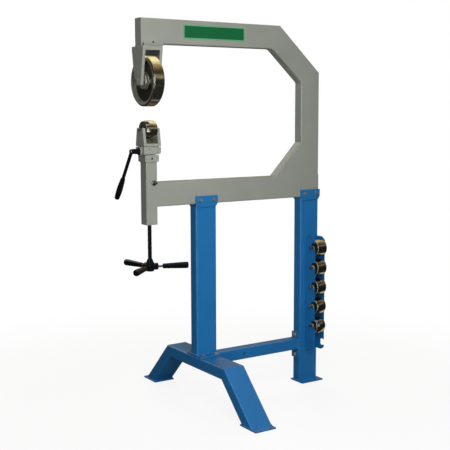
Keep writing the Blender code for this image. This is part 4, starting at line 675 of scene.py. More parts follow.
# %% Hexagons
def hexagon(width, low, high, place, axis, lean=(1, 1), steps=48):
    """A hexagonal prism with rings of radius r(a), chamfered at its low end, its high end or
    both: there the face is a circle inside the flats, and each flat starts lower by the drop."""
    a = np.arange(steps) * FULL / steps
    radius = width / 2 / np.cos((a + math.pi / 6) % (math.pi / 3) - math.pi / 6)
    drop = (radius - width / 2) * math.tan(math.pi / 6) + 0.0002
    face = np.full(steps, width / 2 * 0.985)
    zero = np.zeros(steps)
    rows = [(zero, zero + low), (face if lean[0] else radius, zero + low),
            (radius, low + drop * lean[0]), (radius, high - drop * lean[1]),
            (face if lean[1] else radius, zero + high), (zero, zero + high)]
    u, v, w = upright(axis)
    circle = np.cos(a)[:, None] * u + np.sin(a)[:, None] * v
    rings = [r[:, None] * circle + h[:, None] * w for r, h in rows]
    return loft(np.stack(rings) + np.asarray(place, float))


def hex_bolt(node, face, axis, nut=None, size=1.0):
    """A washer on a face, a head on it and, past the nut's far side, a short threaded tail."""
    washer = [(0, 0.0003), (0.00825 * size, 0.0003), (0.00825 * size, 0.0018), (0, 0.0018)]
    length = -0.033 if nut is None else -nut - 0.0115
    parts = [turned(rounded(washer, 0.0004, 2, False), face, axis, 48),
             hexagon(0.0142 * size, 0.0017, 0.0018 + 0.006 * size, face, axis, (0, 1)),
             cylinder(0.0047 * size, length, 0.001, face, axis, 0.0008, 32)]
    if nut is not None:
        parts.append(hexagon(0.0142, -nut - 0.0086, -nut - 0.0006, face, axis))
    piece(node + "_hex", parts, ZINC, nodes=node)


print("a hexagon has", len(hexagon(1, 0, 1, (0, 0, 0), Z)[0]), "points")

# %% [markdown]
# The ear bolts go right through the arm, the base bolts end in nuts inside the cross beam, and
# the tie bolts go into the rear column.

# %% Bolts of the stand
JOINT = 0.0003  # what the solids leave between welded or clamped faces
THIN_PLATE = 0.00635
EAR_Y = HALF_TUBE + JOINT + THIN_PLATE  # the ears' outer face
BASE_TOP = 0.2154  # the top of the front column's base plate
BEAM_WALL = 0.0048
FLANGE = 0.008  # the thickness of the base plate and of the tie beam's flange
base_grip = BASE_TOP - span("cross_beam")[1][2] + BEAM_WALL
for number in range(1, 5):
    x, y, z = centre_of(f"ear_bolt_{number}")
    hex_bolt(f"ear_bolt_{number}", (x, -EAR_Y, z), -Y, 2 * EAR_Y)
for number in range(1, 5):
    x, y, z = centre_of(f"base_bolt_{number}")
    hex_bolt(f"base_bolt_{number}", (x, y, BASE_TOP), Z, base_grip)
for number in (1, 2):
    x, y, z = centre_of(f"tie_bolt_{number}")
    hex_bolt(f"tie_bolt_{number}", (span("tie_beam")[1][0] - FLANGE, y, z), -X, size=1.3)
print("ten bolts")

# %% [markdown]
# The lock bolt is a button head on the post, a dome of half an ellipse with a socket. Two blacked
# set screws sit below the mouths of their holes.

# %% Lock bolt and set screws
x, y, z = centre_of("lock_bolt")
lock = (x, -HALF_TUBE - JOINT, z)
dome = np.linspace(0, math.pi / 2, 9)
dome = np.stack([0.0115 * np.sin(dome), 0.007 * np.cos(dome)], 1)
shank = [(0.0115, 0.0002), (0.006, 0), (0.006, -0.006), (0, -0.006)]
# The button takes the darker steel: painted shade.
piece("lock_bolt_button", [turned(np.vstack([dome, shank]), lock, -Y, 48)], STORED,
      nodes="lock_bolt", slot="zinc_steel", cut=[hexagon(0.008, 0.003, 0.02, lock, -Y, (0, 0))])


def set_screw(name, place, depth, radius):
    """A blacked socket screw that sits below the mouth of its hole."""
    piece(name, [cylinder(radius, -depth - 0.004, -depth, place, -Y, 0.0004, 32)], OXIDE,
          cut=[hexagon(radius, -depth - 0.0025, 0, place, -Y, (0, 0))])


set_screw("collar_set_screw", collar_hole, 0.002, 0.0042)
set_screw("arm_set_screw", HOLE, 0.0014, 0.0039)
print("lock bolt at", np.round(lock, 4))

# %% [markdown]
# ## The upper wheel and its fork
# The fork is plate: a top plate, two tapered cheeks, a web that closes the far side above the
# wheel, and a pad that spaces it from the arm. The pad's rear end is welded to the arm. In the
# photograph the tread mirrors the room right up to its top, so fork and arm are kept out of
# mirrors.

# %% Fork
PLATE = 0.0127
CHEEK = 0.04525  # the cheeks' outer faces, to both sides of the wheel
FORK_TOP = UNDER - 0.0104
PLATE_UNDER = FORK_TOP - 0.016
CHEEK_FOOT = AXIS[2] - 0.0172
cheek = rounded([(-0.047, FORK_TOP), (-0.047, PLATE_UNDER), (-0.0245, CHEEK_FOOT),
                 (0.0245, CHEEK_FOOT), (0.047, PLATE_UNDER), (0.047, FORK_TOP)],
                (0.0012, 0.02, 0.008, 0.008, 0.02, 0.0012), 6)
toe = rounded([(-0.028, FORK_TOP + 0.0016), (0.06, FORK_TOP + 0.0016), (0.06, UNDER - 0.0045),
               (0.0645, UNDER), (-0.028, UNDER)], (0.0008, 0.0008, 0.004, 0, 0), 5)
web = rectangle((-0.0389, AXIS[2] + 0.1016), (0.0389, FORK_TOP - 0.015), 0.001)
pad = rectangle((-0.025, -0.022), (0.057, 0.022), 0.002)
pad_nose = rectangle((-0.041, -0.0252), (-0.0335, 0.0252), 0.001)
plates = [slab(cheek, x, x + PLATE, 0.0009, u=Y, v=Z, w=X) for x in (-CHEEK, CHEEK - PLATE)]
plates += [slab(rectangle((-0.033, -0.047), (0.033, 0.047), 0.0012), PLATE_UNDER, FORK_TOP, 0.0009),
           slab(toe, -0.0252, 0.0252, u=X, v=Z, w=Y),
           slab(pad, FORK_TOP - 0.001, UNDER - 0.001, 0.0003),
           slab(web, 0.036, 0.042, 0.0006, u=X, v=Z, w=Y)]
for side in (-1, 1):
    plates.append(straight_weld((-0.026, side * 0.0228, UNDER + 0.001),
                                (0.058, side * 0.0228, UNDER + 0.001), side * Y))
    plates += [straight_weld((x, -0.034, PLATE_UNDER), (x, 0.034, PLATE_UNDER), -np.sign(x) * X)
               for x in (-0.0326, 0.0326)]
plates.append(slab(pad_nose, FORK_TOP - 0.0005, UNDER + 0.0005, 0.0004))
fork = piece("upper_fork_plates", plates, GREY, nodes="upper_fork")
fork.visible_glossy = False
# The web, the top plate's underside and the cheeks' inner faces take the darker enamel: painted
# shade.
also(fork, SHADED, lambda c: (abs(c[:, 0]) < 0.0327) & (c[:, 2] < FORK_TOP - 0.0159))
head, tail = (-CHEEK, 0, AXIS[2]), (CHEEK, 0, AXIS[2])
piece("upper_axle_bolt", [hexagon(0.0225, 0.0003, 0.0088, head, -X, (0, 1)),
                          cylinder(0.00795, -0.104, 0.001, head, -X, 0.001, 48),
                          hexagon(0.0225, 0.0003, 0.0098, tail, X)], ZINC, nodes="upper_axle")
print("fork top at", round(FORK_TOP, 4))

# %% [markdown]
# The wheel is one profile carried round X. Its tread is flat, with a 5 mm bevel at each side, and
# its web is recessed between rim and hub, with the fillets that a turning tool leaves.

# %% Upper wheel
half_profile = [(0.00945, 0.0141), (0.0178, 0.0141), (0.0178, 0.0254), (0.032, 0.0254),
                (0.034, 0.009), (0.086, 0.009), (0.088, 0.0254), (0.0966, 0.0254),
                (0.1016, 0.0204)]
half_radii = [0.0003, 0.0003, 0.0006, 0.004, 0.005, 0.005, 0.003, 0.0006, 0.0006]
WHEEL = rounded(mirrored(half_profile), half_radii + half_radii[::-1], 5)
wheel = piece("upper_wheel_steel", [turned(WHEEL, AXIS, X, 192, loop=True)], TREAD,
              "upper_wheel", "upper_wheel", sharp=60)


def from_axis(c, axis=AXIS):
    """Each centre's distance from an axis along X: the root of y * y + z * z, taken from it."""
    return np.hypot(c[:, 1] - axis[1], c[:, 2] - axis[2])


# The web takes the dark turned steel: partly its finish, partly painted shade.
also(wheel, WEB, lambda c: abs(from_axis(c) - 0.059) < 0.0245)
# The hub's faces take the paler steel: partly ground finish, partly painted highlight.
also(wheel, RIM, lambda c: from_axis(c) < 0.0345)
also(wheel, FACED, lambda c: abs(from_axis(c) - 0.0896) < 0.0061)
print("upper wheel with", len(WHEEL), "rings")

# %% [markdown]
# A ball bearing sits in each side of the hub: a steel race with its spacer, and a black rubber
# seal that closes the ring between the two races.

# %% Upper bearings
race = [(0.0175, 0.0254), (0.0175, 0.0144), (0.00825, 0.0144), (0.00825, 0.03225),
        (0.011, 0.03225), (0.011, 0.0254), (0.01295, 0.0254), (0.01295, 0.0246),
        (0.01555, 0.0246), (0.01555, 0.0254)]
seal = [(0.01295, 0.0245), (0.01555, 0.0245), (0.01555, 0.02505), (0.01295, 0.02505)]
for side, name in ((-1, "upper_bearing_front"), (1, "upper_bearing_rear")):
    piece(name + "_race", [turned(rounded(race, 0.0003, 2), AXIS, side * X, loop=True)], RACE,
          "upper_wheel", name)
    piece(name + "_seal", [turned(rounded(seal, 0.0001, 2), AXIS, side * X, loop=True)], SEAL,
          "upper_wheel")
print("two bearings")

# %% [markdown]
# ## Anvils
# Each anvil's tread is an arc of its own crown radius R: at the distance h from the middle its
# radius is r - R + sqrt(R * R - h * h). The flatter ones look like cylinders, the round ones
# like barrels.

# %% Anvils and their axles
ANVIL_RADIUS = 0.0381
SHOULDER_EDGE = 0.0016
WORKING_CROWN = 0.15
CROWNS = (0.0508, 0.0762, 0.1016, 0.1524, 0.254)


def anvil(crown):
    """A hub's face, an edge of radius e, the crowned tread, and the same again on the other side.
    Round the edge the radius is s - e * (1 - sin t) and the height is half - e * (1 - cos t)."""
    h = np.linspace(HALF_TUBE - SHOULDER_EDGE, -(HALF_TUBE - SHOULDER_EDGE), 25)
    tread = np.stack([ANVIL_RADIUS - crown + np.sqrt(crown * crown - h * h), h], 1)
    t = np.linspace(0, math.pi / 2, 6)[:-1]
    corner = np.stack([tread[0, 0] - SHOULDER_EDGE * (1 - np.sin(t)),
                       HALF_TUBE - SHOULDER_EDGE * (1 - np.cos(t))], 1)
    upper = np.vstack([[(0.00665, 0.0262), (0.0095, 0.0262), (0.0095, HALF_TUBE)], corner])
    return np.vstack([upper, tread, upper[::-1] * (1, -1)])


def axle(place, name, body):
    """A bright bar with chamfered ends and a centre drill's dimple in both."""
    end = [(0, 0.0422), (0.0016, 0.04365), (0.00535, 0.04365), (0.00635, 0.04265)]
    piece(name + "_bar", [turned(mirrored(end), place, X, 48)], AXLE, body, name)


axle(ANVIL, "working_axle", "yoke")
piece("working_anvil_steel", [turned(anvil(WORKING_CROWN), ANVIL, X, 128, loop=True)], TREAD,
      "working_anvil", "working_anvil")
for number, crown in enumerate(CROWNS, start=1):
    name = f"stored_anvil_{number}"
    seat = centre_of(f"stored_axle_{number}")
    axle(seat, f"stored_axle_{number}", f"stored_axle_{number}")
    # The stored anvils take the darker steel: painted shade.
    stored = piece(name + "_steel", [turned(anvil(crown), seat, X, 96, loop=True)], STORED,
                   name, name)
    # The side faces take the dark turned steel: partly their finish, partly painted shade.
    also(stored, WEB, lambda c: abs(c[:, 0] - seat[0]) > 0.0252)
    # The -X edge and the ring round the axle take the pale steel: painted highlight.
    also(stored, EDGE, lambda c: (abs(c[:, 0] - seat[0] + 0.0243) < 0.0009)
         | (from_axis(c, seat) < 0.0105))
print("six anvils")

# %% [markdown]
# ## Yoke, housing and cam lever
# The yoke is a welded U of plate whose slots hold the anvil's axle. It rides on a flat pad over
# the cam, and two pins keep it square.

# %% Yoke
PARTING = 0.002  # the line under the yoke's plates, where it parts from the housing
YOKE_OUT = 0.0395  # the horns' outer faces
AXLE_SLOT = 0.00665
YOKE_FOOT = span("yoke")[0][2]
HOUSE_LOW, HOUSE_HIGH = span("cam_housing")
HOUSE_TOP = HOUSE_HIGH[2]
BASE_Z = HOUSE_TOP + JOINT
BASE_HIGH = BASE_Z + PLATE
TIP = ANVIL[2] + 0.008
t = np.linspace(0, math.pi, 17)
slot_low = np.stack([AXLE_SLOT * np.cos(t), ANVIL[2] - AXLE_SLOT * np.sin(t)], 1)
horn = rounded([(-0.0347, BASE_Z + PARTING), (0.0347, BASE_Z + PARTING), (0.0347, BASE_HIGH),
                (0.0246, TIP), (AXLE_SLOT, TIP), (-AXLE_SLOT, TIP), (-0.0246, TIP),
                (-0.0347, BASE_HIGH)],
               (0.0008, 0.0008, 0.004, 0.004, 0.0012, 0.0012, 0.004, 0.004), 5)
cut_at = np.argmax((horn[:, 0] < 0) & (horn[:, 1] > ANVIL[2]))
horn = np.vstack([horn[:cut_at], slot_low, horn[cut_at:]])
base = rectangle((-0.0275, -0.0347), (0.0275, 0.0347), 0.001)
inner_pad = rectangle((-0.0335, -0.0285), (0.0335, 0.0285), 0.001)
follower = rectangle((-0.014, -0.009), (0.014, 0.009), 0.001)
back = rectangle((-0.03315, BASE_Z + 0.0117), (0.03315, BASE_Z + 0.034), 0.001)
parts = [slab(horn, x, x + PLATE, 0.0012, u=Y, v=Z, w=X) for x in (-YOKE_OUT, YOKE_OUT - PLATE)]
parts += [slab(base, BASE_Z + PARTING, BASE_HIGH), slab(inner_pad, BASE_Z, BASE_Z + 0.003, 0.0003),
          slab(follower, YOKE_FOOT + 0.0117, BASE_Z + 0.001, 0.0004)]
parts += [cylinder(0.00475, YOKE_FOOT, BASE_Z + 0.001, (0, y, 0)) for y in (-0.0275, 0.0275)]
parts.append(slab(back, 0.0247, 0.0307, 0.0006, u=X, v=Z, w=Y))
yoke = piece("yoke_plates", parts, GREY, "yoke", "yoke")
yoke.visible_glossy = False
also(yoke, GREASY, lambda c: (abs(c[:, 1] - 0.0277) < 0.0035) & (abs(c[:, 0]) < 0.0335)
     & (c[:, 2] > BASE_Z + 0.0128))
print("yoke base at", round(BASE_Z, 4))

# %% [markdown]
# The housing's hidden cavity matters, because the cam turns in it, so its solid is kept: a copy
# is merged, its flats are cleaned, and a bevel rounds its edges.

# %% Housing and cover
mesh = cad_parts["cam_housing"].data.copy()
work = bmesh.new()
work.from_mesh(mesh)
bmesh.ops.remove_doubles(work, verts=work.verts, dist=1e-6)
bmesh.ops.dissolve_limit(work, angle_limit=math.radians(1), verts=work.verts, edges=work.edges)
work.to_mesh(mesh)
work.free()
housing = bpy.data.objects.new("cam_housing_soft", mesh)
bpy.context.scene.collection.objects.link(housing)
finished(housing, GREY, "carriage", ("cam_housing",), "frame_enamel", sharp=25.0, bevel=0.001)

CAM_Z = HOUSE_TOP - 0.018
CAM_AXIS = (0, 0, CAM_Z)
COVER_LOW = HOUSE_TOP - 0.0305
boss = rounded([(0.0113, -0.0385), (0.0176, -0.0385), (0.0176, -0.0455), (0.0113, -0.0455)],
               0.0006, 3)
piece("cam_boss", [turned(boss, CAM_AXIS, X, loop=True)], GREY, "carriage")
cover = rounded([(0.0227, HOUSE_TOP), (0.0227, COVER_LOW), (0.0325, COVER_LOW),
                 (0.0395, COVER_LOW + 0.007), (0.0395, HOUSE_TOP)], 0.0012, 4)
piece("cam_cover_block", [slab(cover, -0.0347, 0.0347, 0.0009, u=X, v=Z, w=Y)], GREY, "carriage",
      "cam_cover", cut=[cylinder(0.00665, 0, 0.033, CAM_AXIS, X)])
print("housing from", HOUSE_LOW.round(4), "to", HOUSE_HIGH.round(4))

# %% [markdown]
# The cam is the edge that a flat follower feels: at the lever's angle a it stands
# r0 + k a from the axis, so its points are (r0 + k a) n + k n', with n = (sin a, cos a).

# %% Cam shaft
RISE = 0.008  # how far the cam lifts the yoke
TRAVEL = math.radians(110)
CAM_BASE = 0.008
k = RISE / TRAVEL
a = np.linspace(0, TRAVEL, 40)
support = CAM_BASE + k * a
cam = np.stack([support * np.sin(a) + k * np.cos(a), support * np.cos(a) - k * np.sin(a)], 1)
tip_angle = TRAVEL + math.atan2(k, CAM_BASE + RISE)
back = tip_angle + math.acos(CAM_BASE / np.linalg.norm(cam[-1]))
around = np.linspace(math.pi / 2 - back, -1.5 * math.pi, 30)
cam = np.vstack([cam, np.stack([CAM_BASE * np.cos(around), CAM_BASE * np.sin(around)], 1)])
shaft = rounded([(0, 0.0327), (0.00635, 0.0327), (0.00635, -0.0183), (0.011, -0.0183),
                 (0.011, -0.0458), (0.012, -0.0458), (0.0096, -0.083), (0.0082, -0.0845),
                 (0, -0.0845)], (0, 0.0006, 0.0002, 0.0004, 0.0002, 0.0008, 0.001, 0.0008, 0), 4,
                False)
cam_shaft = piece("cam_shaft_steel", [turned(shaft, CAM_AXIS, X),
                                      slab(cam, -0.017, 0.017, 0.0004, CAM_AXIS, Y, Z, X)],
                  OXIDE, "cam_lever", "cam_shaft")
also(cam_shaft, AXLE,
     lambda c: (c[:, 0] < -0.0826) & (np.hypot(c[:, 1], c[:, 2] - CAM_Z) > 0.004))
print("cam of", len(cam), "points")

# %% [markdown]
# The lever hangs down at an angle and ends in a plastic grip. Twelve flutes run down the grip:
# its radius loses 9 percent of itself times sin(6 a) to the sixth power, which makes narrow
# grooves, and they fade out towards both ends.

# %% Lever
LEVER = math.radians(34.9)
GRIP_LOW, GRIP_HIGH = 0.139, 0.246  # along the lever
lever_way = np.array([0, math.sin(LEVER), -math.cos(LEVER)])
lever_root = np.array([-0.0775, 0, CAM_Z])
piece("lever_rod_steel", [cylinder(0.007, -0.003, 0.199, lever_root, lever_way, 0.0008, 40)],
      OXIDE, "cam_lever", "lever_rod")
grip = rounded([(0.0072, GRIP_LOW), (0.0093, GRIP_LOW), (0.0112, 0.165), (0.0128, 0.198),
                (0.0118, 0.225), (0.01, GRIP_HIGH), (0, GRIP_HIGH)],
               (0, 0.001, 0.03, 0.06, 0.05, 0.004, 0), 8, False)
grip = np.vstack([[(0, GRIP_LOW)], grip[:-1], [(0.0075, GRIP_HIGH)], grip[-1:]])
fade = np.interp(grip[:, 1], [0.146, 0.152, 0.232, 0.24], [0, 1, 1, 0])[:, None]
flutes = 1 - 0.09 * fade * np.sin(np.arange(96) * FULL / 96 * 6) ** 6
piece("lever_grip_plastic", [turned(grip, lever_root, lever_way, 96, swell=flutes)], RUBBER,
      "cam_lever", "lever_grip")
print("lever towards", lever_way.round(3))

# %% [markdown]
# ## Lift screw and crank
# The screw has six threads to the inch. Its surface is a grid over angle and turn: the row's
# height is pitch * (row + angle / full turn), and the radius falls to the root between crests.

# %% Screw
PITCH = 0.004233
SCREW_HIGH = span("lift_screw")[1]
HUB_LOW, HUB_HIGH = span("crank_hub")
SHOULDER = SCREW_HIGH[2] - 0.014


def thread(low, high, radius, depth, steps=40, rows=8):
    """Rows follow the helix. The radius is a trapezoid of the height within one pitch, eased to
    the plain radius over one pitch at both ends, and rows beyond an end lie flat on it."""
    turns = int((high - low) / PITCH) + 2
    row = np.arange(-rows, turns * rows + 1)[:, None] / rows
    a = np.arange(steps + 1)[None, :] / steps
    height = low + PITCH * (row + a)
    wave = np.clip(np.abs(row % 1 - 0.5) * 6 - 1, 0, 1) + 0 * a
    ease = np.clip(np.minimum(height - low, high - height) / PITCH, 0, 1)
    r = radius - depth * wave * ease
    angle = a * FULL + 0 * row
    return np.stack([r * np.cos(angle), r * np.sin(angle), np.clip(height, low, high)], -1)


helix = thread(HUB_HIGH[2] - 0.001, SHOULDER, 0.009, 0.0016)
core = rounded([(0, HUB_LOW[2]), (0.0078, HUB_LOW[2]), (0.0078, HUB_HIGH[2]),
                (0.0058, HUB_HIGH[2]), (0.0058, SHOULDER), (0.0057, SCREW_HIGH[2]),
                (0, SCREW_HIGH[2])], 0.0003, 2, False)
piece("lift_screw_thread", [(helix.reshape(-1, 3), quads(*helix.shape[:2], ring=False)),
                            turned(core, steps=40)], OXIDE, "screw", "lift_screw", sharp=50)
print("thread with", len(helix), "rows")

# %% [markdown]
# The thrust bearing between screw and stem is a steel ring with a groove between its two races.

# %% Thrust bearing
THRUST_LOW, THRUST_HIGH = span("thrust_bearing")
half = (THRUST_HIGH[2] - THRUST_LOW[2]) / 2
ring = [(0.013, half), (0.013, 0.0014), (0.0109, 0.0014), (0.0109, -0.0014), (0.013, -0.0014),
        (0.013, -half), (0.006, -half), (0.006, half)]
ring = turned(rounded(ring, 0.0003, 2), (0, 0, THRUST_LOW[2] + half), steps=48, loop=True)
piece("thrust_bearing_rings", [ring], RACE, "screw", "thrust_bearing")
print("thrust bearing of", round(2 * half, 4))

# %% [markdown]
# The crank is a turned hub with three sockets, a bright rod in each and a moulded grip on the
# rod. Hub and sockets are joined by a union, so that no wall is left inside.

# %% Crank
FIRST_ARM = math.radians(-18.8)
HUB_TOP = HUB_LOW[2] + 0.038
HUB_Z = HUB_TOP - 0.019
HUB_CENTRE = (0, 0, HUB_Z)
neck = rounded([(0, HUB_TOP - 0.003), (0.015, HUB_TOP - 0.003), (0.015, HUB_TOP),
                (0.0106, HUB_HIGH[2]), (0, HUB_HIGH[2])], (0, 0, 0.002, 0.001, 0), 4, False)
handle = rounded([(0.0047, 0.054), (0.0102, 0.054), (0.0126, 0.118), (0.0135, 0.141),
                  (0.0135, 0.1624), (0, 0.1624)], (0, 0.002, 0.08, 0.02, 0.005, 0), 8, False)
handle = np.vstack([[(0, 0.054)], handle])
hub_parts = [turned(neck)]
for number in range(3):
    azimuth = FIRST_ARM + number * FULL / 3
    way = np.array([math.cos(azimuth), math.sin(azimuth), 0])
    hub_parts.append(cylinder(0.01425, 0.004, 0.034, HUB_CENTRE, way, 0.0016, 48))
    rod, moulded = f"crank_rod_{number + 1}", f"crank_grip_{number + 1}"
    piece(rod + "_bar", [cylinder(0.0045, 0.0223, 0.094, HUB_CENTRE, way, 0.0004, 32)], AXLE,
          "screw", rod)
    piece(moulded + "_moulded", [turned(handle, HUB_CENTRE, way, 56)], PHENOLIC, "screw", moulded)
hub = new_object("crank_hub_steel", [cylinder(0.017, HUB_LOW[2], HUB_TOP, edge=0.0022, steps=64)])
combined(hub, hub_parts, "UNION")
finished(hub, OXIDE, "screw", ("crank_hub",), "black_oxide")
print("crank hub at", round(HUB_Z, 4))

# %% [markdown]
# ## The stand
# The same box tube in blue: a cross beam with two legs at 45 degrees, two columns with ears that
# clasp the lower arm, and a tie beam that runs back. Beam and legs share one mitred outline.

# %% Cross beam and legs
COLUMN_X = 0.2609
BEAM_UNDER = 0.1563
HALF_BEAM = 0.2142
FOOT_UNDER = 0.00535  # a leg's tube ends inside its foot plate
HALF_DEPTH = TUBE_DEPTH / 2
SPLAY = BEAM_UNDER - FOOT_UNDER
DIAGONAL = math.sqrt(2)  # a level cut through a leg at 45 degrees is this much longer
PLATE_INSET = 0.0005
SIDEWAYS = rectangle((-HALF_DEPTH, 0), (HALF_DEPTH, HALF_DEPTH), TUBE_CORNER, 8)


def stand_tube(stations):
    """A tube in the plane of Y and Z through the column: the outline's width lies along X."""
    points, faces = box_tube(SIDEWAYS, stations, across=X, along=Y, up=Z)
    return points + (COLUMN_X, 0, 0), faces


def foot_plate(x_low, x_high, y_low, y_high):
    """A plate on the floor with round corners."""
    return slab(rectangle((x_low, y_low), (x_high, y_high), 0.002), 0, THIN_PLATE)


near, far = (-HALF_BEAM, BEAM_UNDER), (HALF_BEAM, BEAM_UNDER)
near_mitre, far_mitre = bisector((1, 1), (1, 0)), bisector((1, 0), (1, -1))
near_toe, far_toe = (-HALF_BEAM - SPLAY, FOOT_UNDER), (HALF_BEAM + SPLAY, FOOT_UNDER)
x_low, x_high = COLUMN_X - HALF_DEPTH, COLUMN_X + HALF_DEPTH
piece("cross_beam_tube", [stand_tube([(near, near_mitre), (far, far_mitre)])], BLUE,
      nodes="cross_beam")
for side, name, stations in (
        (-1, "near_leg", [(near_toe, (-DIAGONAL, 0)), (near, near_mitre)]),
        (1, "far_leg", [(far, far_mitre), (far_toe, (DIAGONAL, 0))])):
    low, high = span(name)
    edge = (low[1], low[1] + 0.11144) if side < 0 else (high[1] - 0.11144, high[1])
    toe_y = side * (HALF_BEAM + SPLAY)
    y_low, y_high = sorted((toe_y, toe_y + side * 0.0718))
    ring = rectangle((x_low, y_low), (x_high, y_high), 0.007, 8)
    piece(name + "_tube", [stand_tube(stations),
                           foot_plate(x_low + PLATE_INSET, x_high - PLATE_INSET, *edge),
                           seam(ring, 0.0064, 0.0028)], BLUE, nodes=name)
print("beam under", BEAM_UNDER, "and legs splayed by", round(SPLAY, 4))

# %% [markdown]
# Each column is a tube on a flat plate, with a plate ear welded to both sides of its top. The
# front column stands on the beam and the rear one on the floor.

# %% Columns
def ears(x):
    """Two plates that clasp the lower arm, tapered at the bottom, and the bead under each."""
    z = LOWER_LOW[2]
    outline = rounded([(x - 0.05485, z + 0.0334), (x - 0.05485, z + 0.0023),
                       (x - 0.0462, z - 0.0126), (x + 0.0462, z - 0.0126),
                       (x + 0.05485, z + 0.0023), (x + 0.05485, z + 0.0334)], 0.0012, 4)
    plates = [slab(outline, EAR_Y - THIN_PLATE, EAR_Y, u=X, v=Z, w=side * Y) for side in (-1, 1)]
    return plates + [straight_weld((x - 0.043, side * 0.0262, z - 0.0126),
                                   (x + 0.043, side * 0.0262, z - 0.0126), side * Y)
                     for side in (-1, 1)]


def column_tube(x, low):
    """A column's tube from its plate up, with the bead at its root."""
    outline = rectangle((x - HALF_DEPTH, -HALF_TUBE), (x + HALF_DEPTH, HALF_TUBE), TUBE_CORNER, 8)
    return slab(outline, low - 0.001, LOWER_LOW[2] - JOINT, 0.0002), seam(outline, low)


base = rectangle((x_low + PLATE_INSET, -0.0565), (x_high - PLATE_INSET, 0.0565), 0.002)
piece("front_column_tube", [*column_tube(COLUMN_X, BASE_TOP),
                            slab(base, BASE_TOP - FLANGE, BASE_TOP), *ears(COLUMN_X)], BLUE,
      nodes="front_column")
REAR_X = SPINE_X + HALF_DEPTH
rear_foot = foot_plate(SPINE_X + 0.0026, span("rear_column")[1][0], -0.045, 0.045)
piece("rear_column_tube", [*column_tube(REAR_X, 0.0063), rear_foot, *ears(REAR_X)], BLUE,
      nodes="rear_column")
print("columns at", COLUMN_X, "and", round(REAR_X, 4))

# %% [markdown]
# The tie beam runs from the cross beam to the rear column, where a flange on its end is bolted
# on. There is a small hole in its near flank.

# %% Tie beam
TIE_LOW, TIE_HIGH = span("tie_beam")
TIE_END = TIE_HIGH[0]
tie = rectangle((-HALF_TUBE, 0.1625), (HALF_TUBE, 0.2133), TUBE_CORNER, 8)
flange = rectangle((-0.0249, TIE_LOW[2]), (0.0249, TIE_HIGH[2]), 0.0015)
piece("tie_beam_tube", [slab(tie, TIE_LOW[0], TIE_END - 0.007, 0.0004, u=Y, v=Z, w=X),
                        slab(flange, TIE_END - FLANGE, TIE_END, u=Y, v=Z, w=X),
                        seam(tie, TIE_END - FLANGE, 0.0028, u=Y, v=Z, w=X)], BLUE,
      nodes="tie_beam", cut=[turned(hole_flare, (0.4576, -HALF_TUBE, 0.1879), -Y, 32)])
print("tie beam to", round(TIE_END, 4))

# %% [markdown]
# ## The anvil rack
# A channel bent from 3 mm sheet, with six J notches laser-cut in both edges. The anvil's axle
# drops over the lip into the hook.

# %% Rack
SHEET = 0.003
NOTCH_PITCH = 0.0904
RACK_LOW, RACK_HIGH = span("anvil_rack")
RACK_X = (RACK_LOW[0] + RACK_HIGH[0]) / 2
WALL_Y, LIP_Y = -0.0257, -0.0915
outside = [(-0.0295, LIP_Y), (-0.0295, WALL_Y), (0.0295, WALL_Y), (0.0295, LIP_Y)]
inside = [(0.0265, LIP_Y), (0.0265, WALL_Y - SHEET), (-0.0265, WALL_Y - SHEET), (-0.0265, LIP_Y)]
channel = rounded(np.array(outside + inside) + (RACK_X, 0),
                  (0, 0.0055, 0.0055, 0, 0, 0.0025, 0.0025, 0), 8)
t = np.radians(np.linspace(-55, -180, 22))
hook = np.stack([0.0747 + 0.0073 * np.cos(t), 0.18865 + 0.0073 * np.sin(t)], 1)
lip = [(0.0674, 0.208), (0.0683, 0.2102), (0.0704, 0.211), (0.11, 0.211)]
notch = np.vstack([[(0.11, 0.183), (0.082, 0.183)], hook, lip])
cuts = [notch * (-1, 1) + (0, NOTCH_PITCH * number) for number in range(6)]
cuts.append(np.array([(-0.052, 0.155), (-0.12, 0.155), (-0.12, 0.1894), (LIP_Y, 0.1725),
                      (-0.072, 0.161)]))  # the slope of the lower end
cuts.append(np.array([(-0.0563, 0.702), (-0.12, 0.702), (-0.12, 0.6531), (LIP_Y, 0.675),
                      (-0.072, 0.69)]))  # the slope of the upper end
piece("anvil_rack_channel", [slab(channel, RACK_LOW[2], RACK_HIGH[2], 0)], BLUE,
      nodes="anvil_rack", sharp=40,
      cut=[slab(outline, RACK_X - 0.04, RACK_X + 0.04, 0, u=Y, v=Z, w=X) for outline in cuts])
print("rack at x", round(RACK_X, 4))

# %% [markdown]
# ## Floor, light and camera
# The world and the floor are white to the camera, to glossy and to transmission rays. For
# everything else the world is a soft, dim grey, and the lamps do the work. Round the object the
# floor keeps a faint shadow.

# %% World
def seen_directly(tree):
    """One for camera, glossy and transmission rays, and zero for all others."""
    path = add(tree, "ShaderNodeLightPath")
    two = add(tree, "ShaderNodeMath", {0: path.outputs["Is Camera Ray"],
                                       1: path.outputs["Is Glossy Ray"]}, operation="ADD")
    three = add(tree, "ShaderNodeMath", {0: two.outputs[0], 1: path.outputs["Is Transmission Ray"]},
                operation="ADD", use_clamp=True)
    return three.outputs[0]


world = bpy.data.worlds.new("soft_studio")
bpy.context.scene.world = world
world.use_nodes = True
tree = world.node_tree
tree.nodes.clear()
soft = add(tree, "ShaderNodeBackground", {"Color": linear(WHITE), "Strength": 0.2})
white = add(tree, "ShaderNodeBackground", {"Color": linear(WHITE), "Strength": 1.0})
mixed = add(tree, "ShaderNodeMixShader", {0: seen_directly(tree), 1: soft.outputs[0],
                                          2: white.outputs[0]})
add(tree, "ShaderNodeOutputWorld", {"Surface": mixed.outputs[0]})
print("world with", len(tree.nodes), "nodes")

